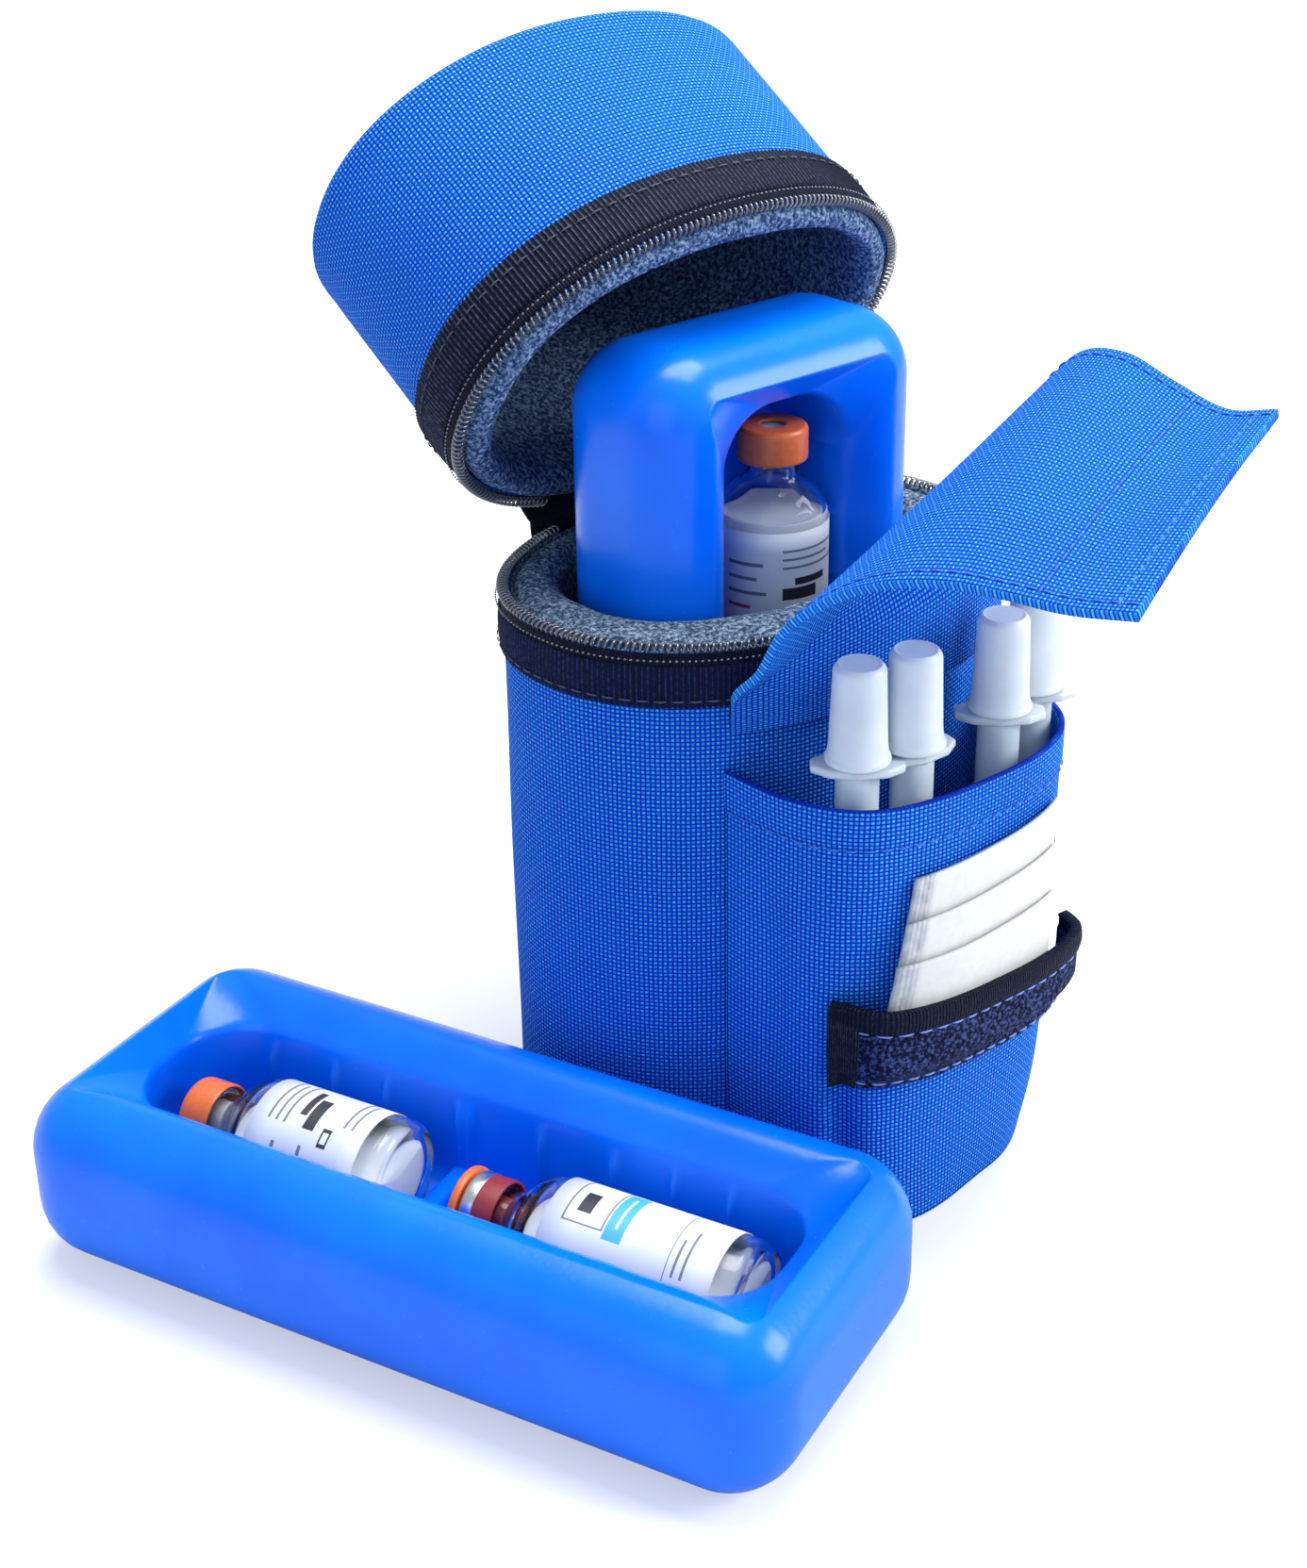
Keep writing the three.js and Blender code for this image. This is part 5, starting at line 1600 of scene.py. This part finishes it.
class CASE_OT_stage(bpy.types.Operator):
    """Floor, lamps, world and the camera at the photographed angle"""
    bl_idname = "cooling_case.stage"
    bl_label = "Stage"

    def execute(self, context):
        settings = context.scene.case_stage
        self.camera(context, settings)
        self.lamp(context, "top", (0.25, 0.15, 1.5), 1.0, 34)
        self.lamp(context, "front_right", (1.0, -1.1, 0.85), 0.9, 30)
        self.lamp(context, "fill_left", (-1.4, -0.5, 0.7), 1.2, 7, (0.55, 0.75, 1.0))
        self.world(context)
        bm = bmesh.new()
        bmesh.ops.create_grid(bm, x_segments=1, y_segments=1, size=settings.floor / 2)
        mesh = bpy.data.meshes.new("floor")
        bm.to_mesh(mesh)
        bm.free()
        mesh.materials.append(self.floor_finish())
        floor = bpy.data.objects.new("floor", mesh)
        floor.location.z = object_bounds()[0][2]
        context.scene.collection.objects.link(floor)
        floor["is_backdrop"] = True
        context.scene.view_settings.view_transform = "Standard"
        return {"FINISHED"}

    def camera(self, context, settings):
        right = CAMERA_RIGHT
        back = (CAMERA_BACK - right * CAMERA_BACK.dot(right)).normalized()
        up = back.cross(right)
        data = bpy.data.cameras.new("camera")
        data.lens = settings.lens
        data.sensor_width = 36
        data.shift_x, data.shift_y = CAMERA_SHIFT
        data.clip_start = 0.01
        camera = bpy.data.objects.new("camera", data)
        place = CASE_MIDDLE - right * CAMERA_ASIDE - up * CAMERA_BELOW + back * settings.distance
        camera.matrix_world = Matrix.Translation(place) @ Matrix((right, up, back)).transposed().to_4x4()
        context.scene.collection.objects.link(camera)
        context.scene.camera = camera

    def lamp(self, context, name, place, size, power, colour=(1, 1, 1)):
        data = bpy.data.lights.new(name, "AREA")
        data.energy = power
        data.color = colour
        data.size = size
        lamp = bpy.data.objects.new(name, data)
        lamp.location = place
        lamp.rotation_euler = (Vector((0, 0, 0.08)) - lamp.location).to_track_quat("-Z", "Y").to_euler()
        context.scene.collection.objects.link(lamp)

    def seen(self, tree):
        """One for camera and transmission rays."""
        path = tree.nodes.new("ShaderNodeLightPath")
        either = tree.nodes.new("ShaderNodeMath")
        either.operation = "MAXIMUM"
        tree.links.new(path.outputs["Is Camera Ray"], either.inputs[0])
        tree.links.new(path.outputs["Is Transmission Ray"], either.inputs[1])
        return either.outputs[0]

    def world(self, context):
        world = bpy.data.worlds.new("studio")
        context.scene.world = world
        world.use_nodes = True
        tree = world.node_tree
        lit = tree.nodes["Background"]
        lit.inputs["Color"].default_value = (0.78, 0.88, 1, 1)
        lit.inputs["Strength"].default_value = 0.6
        white = tree.nodes.new("ShaderNodeBackground")
        white.inputs["Strength"].default_value = 1.0
        mix = tree.nodes.new("ShaderNodeMixShader")
        tree.links.new(self.seen(tree), mix.inputs[0])
        tree.links.new(lit.outputs[0], mix.inputs[1])
        tree.links.new(white.outputs[0], mix.inputs[2])
        tree.links.new(mix.outputs[0], tree.nodes["World Output"].inputs["Surface"])

    def floor_finish(self):
        material = bpy.data.materials.new("pale_floor")
        material.use_nodes = True
        tree = material.node_tree
        shader = tree.nodes["Principled BSDF"]
        shader.inputs["Base Color"].default_value = (0.55, 0.56, 0.58, 1)
        shader.inputs["Roughness"].default_value = 0.9
        shader.inputs["Specular IOR Level"].default_value = 0
        glow = tree.nodes.new("ShaderNodeEmission")
        glow.inputs["Strength"].default_value = 0.45
        add = tree.nodes.new("ShaderNodeAddShader")
        mix = tree.nodes.new("ShaderNodeMixShader")
        tree.links.new(shader.outputs[0], add.inputs[0])
        tree.links.new(glow.outputs[0], add.inputs[1])
        tree.links.new(self.seen(tree), mix.inputs[0])
        tree.links.new(shader.outputs[0], mix.inputs[1])
        tree.links.new(add.outputs[0], mix.inputs[2])
        tree.links.new(mix.outputs[0], tree.nodes["Material Output"].inputs["Surface"])
        return material


STEPS = (
    CASE_OT_stage, CASE_OT_materials, CASE_OT_body, CASE_OT_zip, CASE_OT_lid, CASE_OT_pocket, CASE_OT_flap,
    CASE_OT_trays, CASE_OT_vials, CASE_OT_syringes,
)


class CASE_PT_panel(bpy.types.Panel):
    """The case's steps, in their order"""
    bl_idname = "CASE_PT_panel"
    bl_label = "Cooling Case"
    bl_space_type = "VIEW_3D"
    bl_region_type = "UI"
    bl_category = "Cooling Case"

    def draw(self, context):
        for group in (context.scene.case_colours, context.scene.case_stage):
            for name in group.bl_rna.properties.keys():
                if name not in ("rna_type", "name"):
                    self.layout.prop(group, name)
        for step in STEPS:
            self.layout.operator(step.bl_idname)


CLASSES = (CaseColours, CaseStage, *STEPS, CASE_PT_panel)


def register():
    for cls in CLASSES:
        bpy.utils.register_class(cls)
    bpy.types.Scene.case_colours = bpy.props.PointerProperty(type=CaseColours)
    bpy.types.Scene.case_stage = bpy.props.PointerProperty(type=CaseStage)


def unregister():
    del bpy.types.Scene.case_stage
    del bpy.types.Scene.case_colours
    for cls in reversed(CLASSES):
        bpy.utils.unregister_class(cls)


def main():
    register()
    for step in STEPS:
        group, name = step.bl_idname.split(".")
        getattr(getattr(bpy.ops, group), name)()


if __name__ == "__main__":
    main()
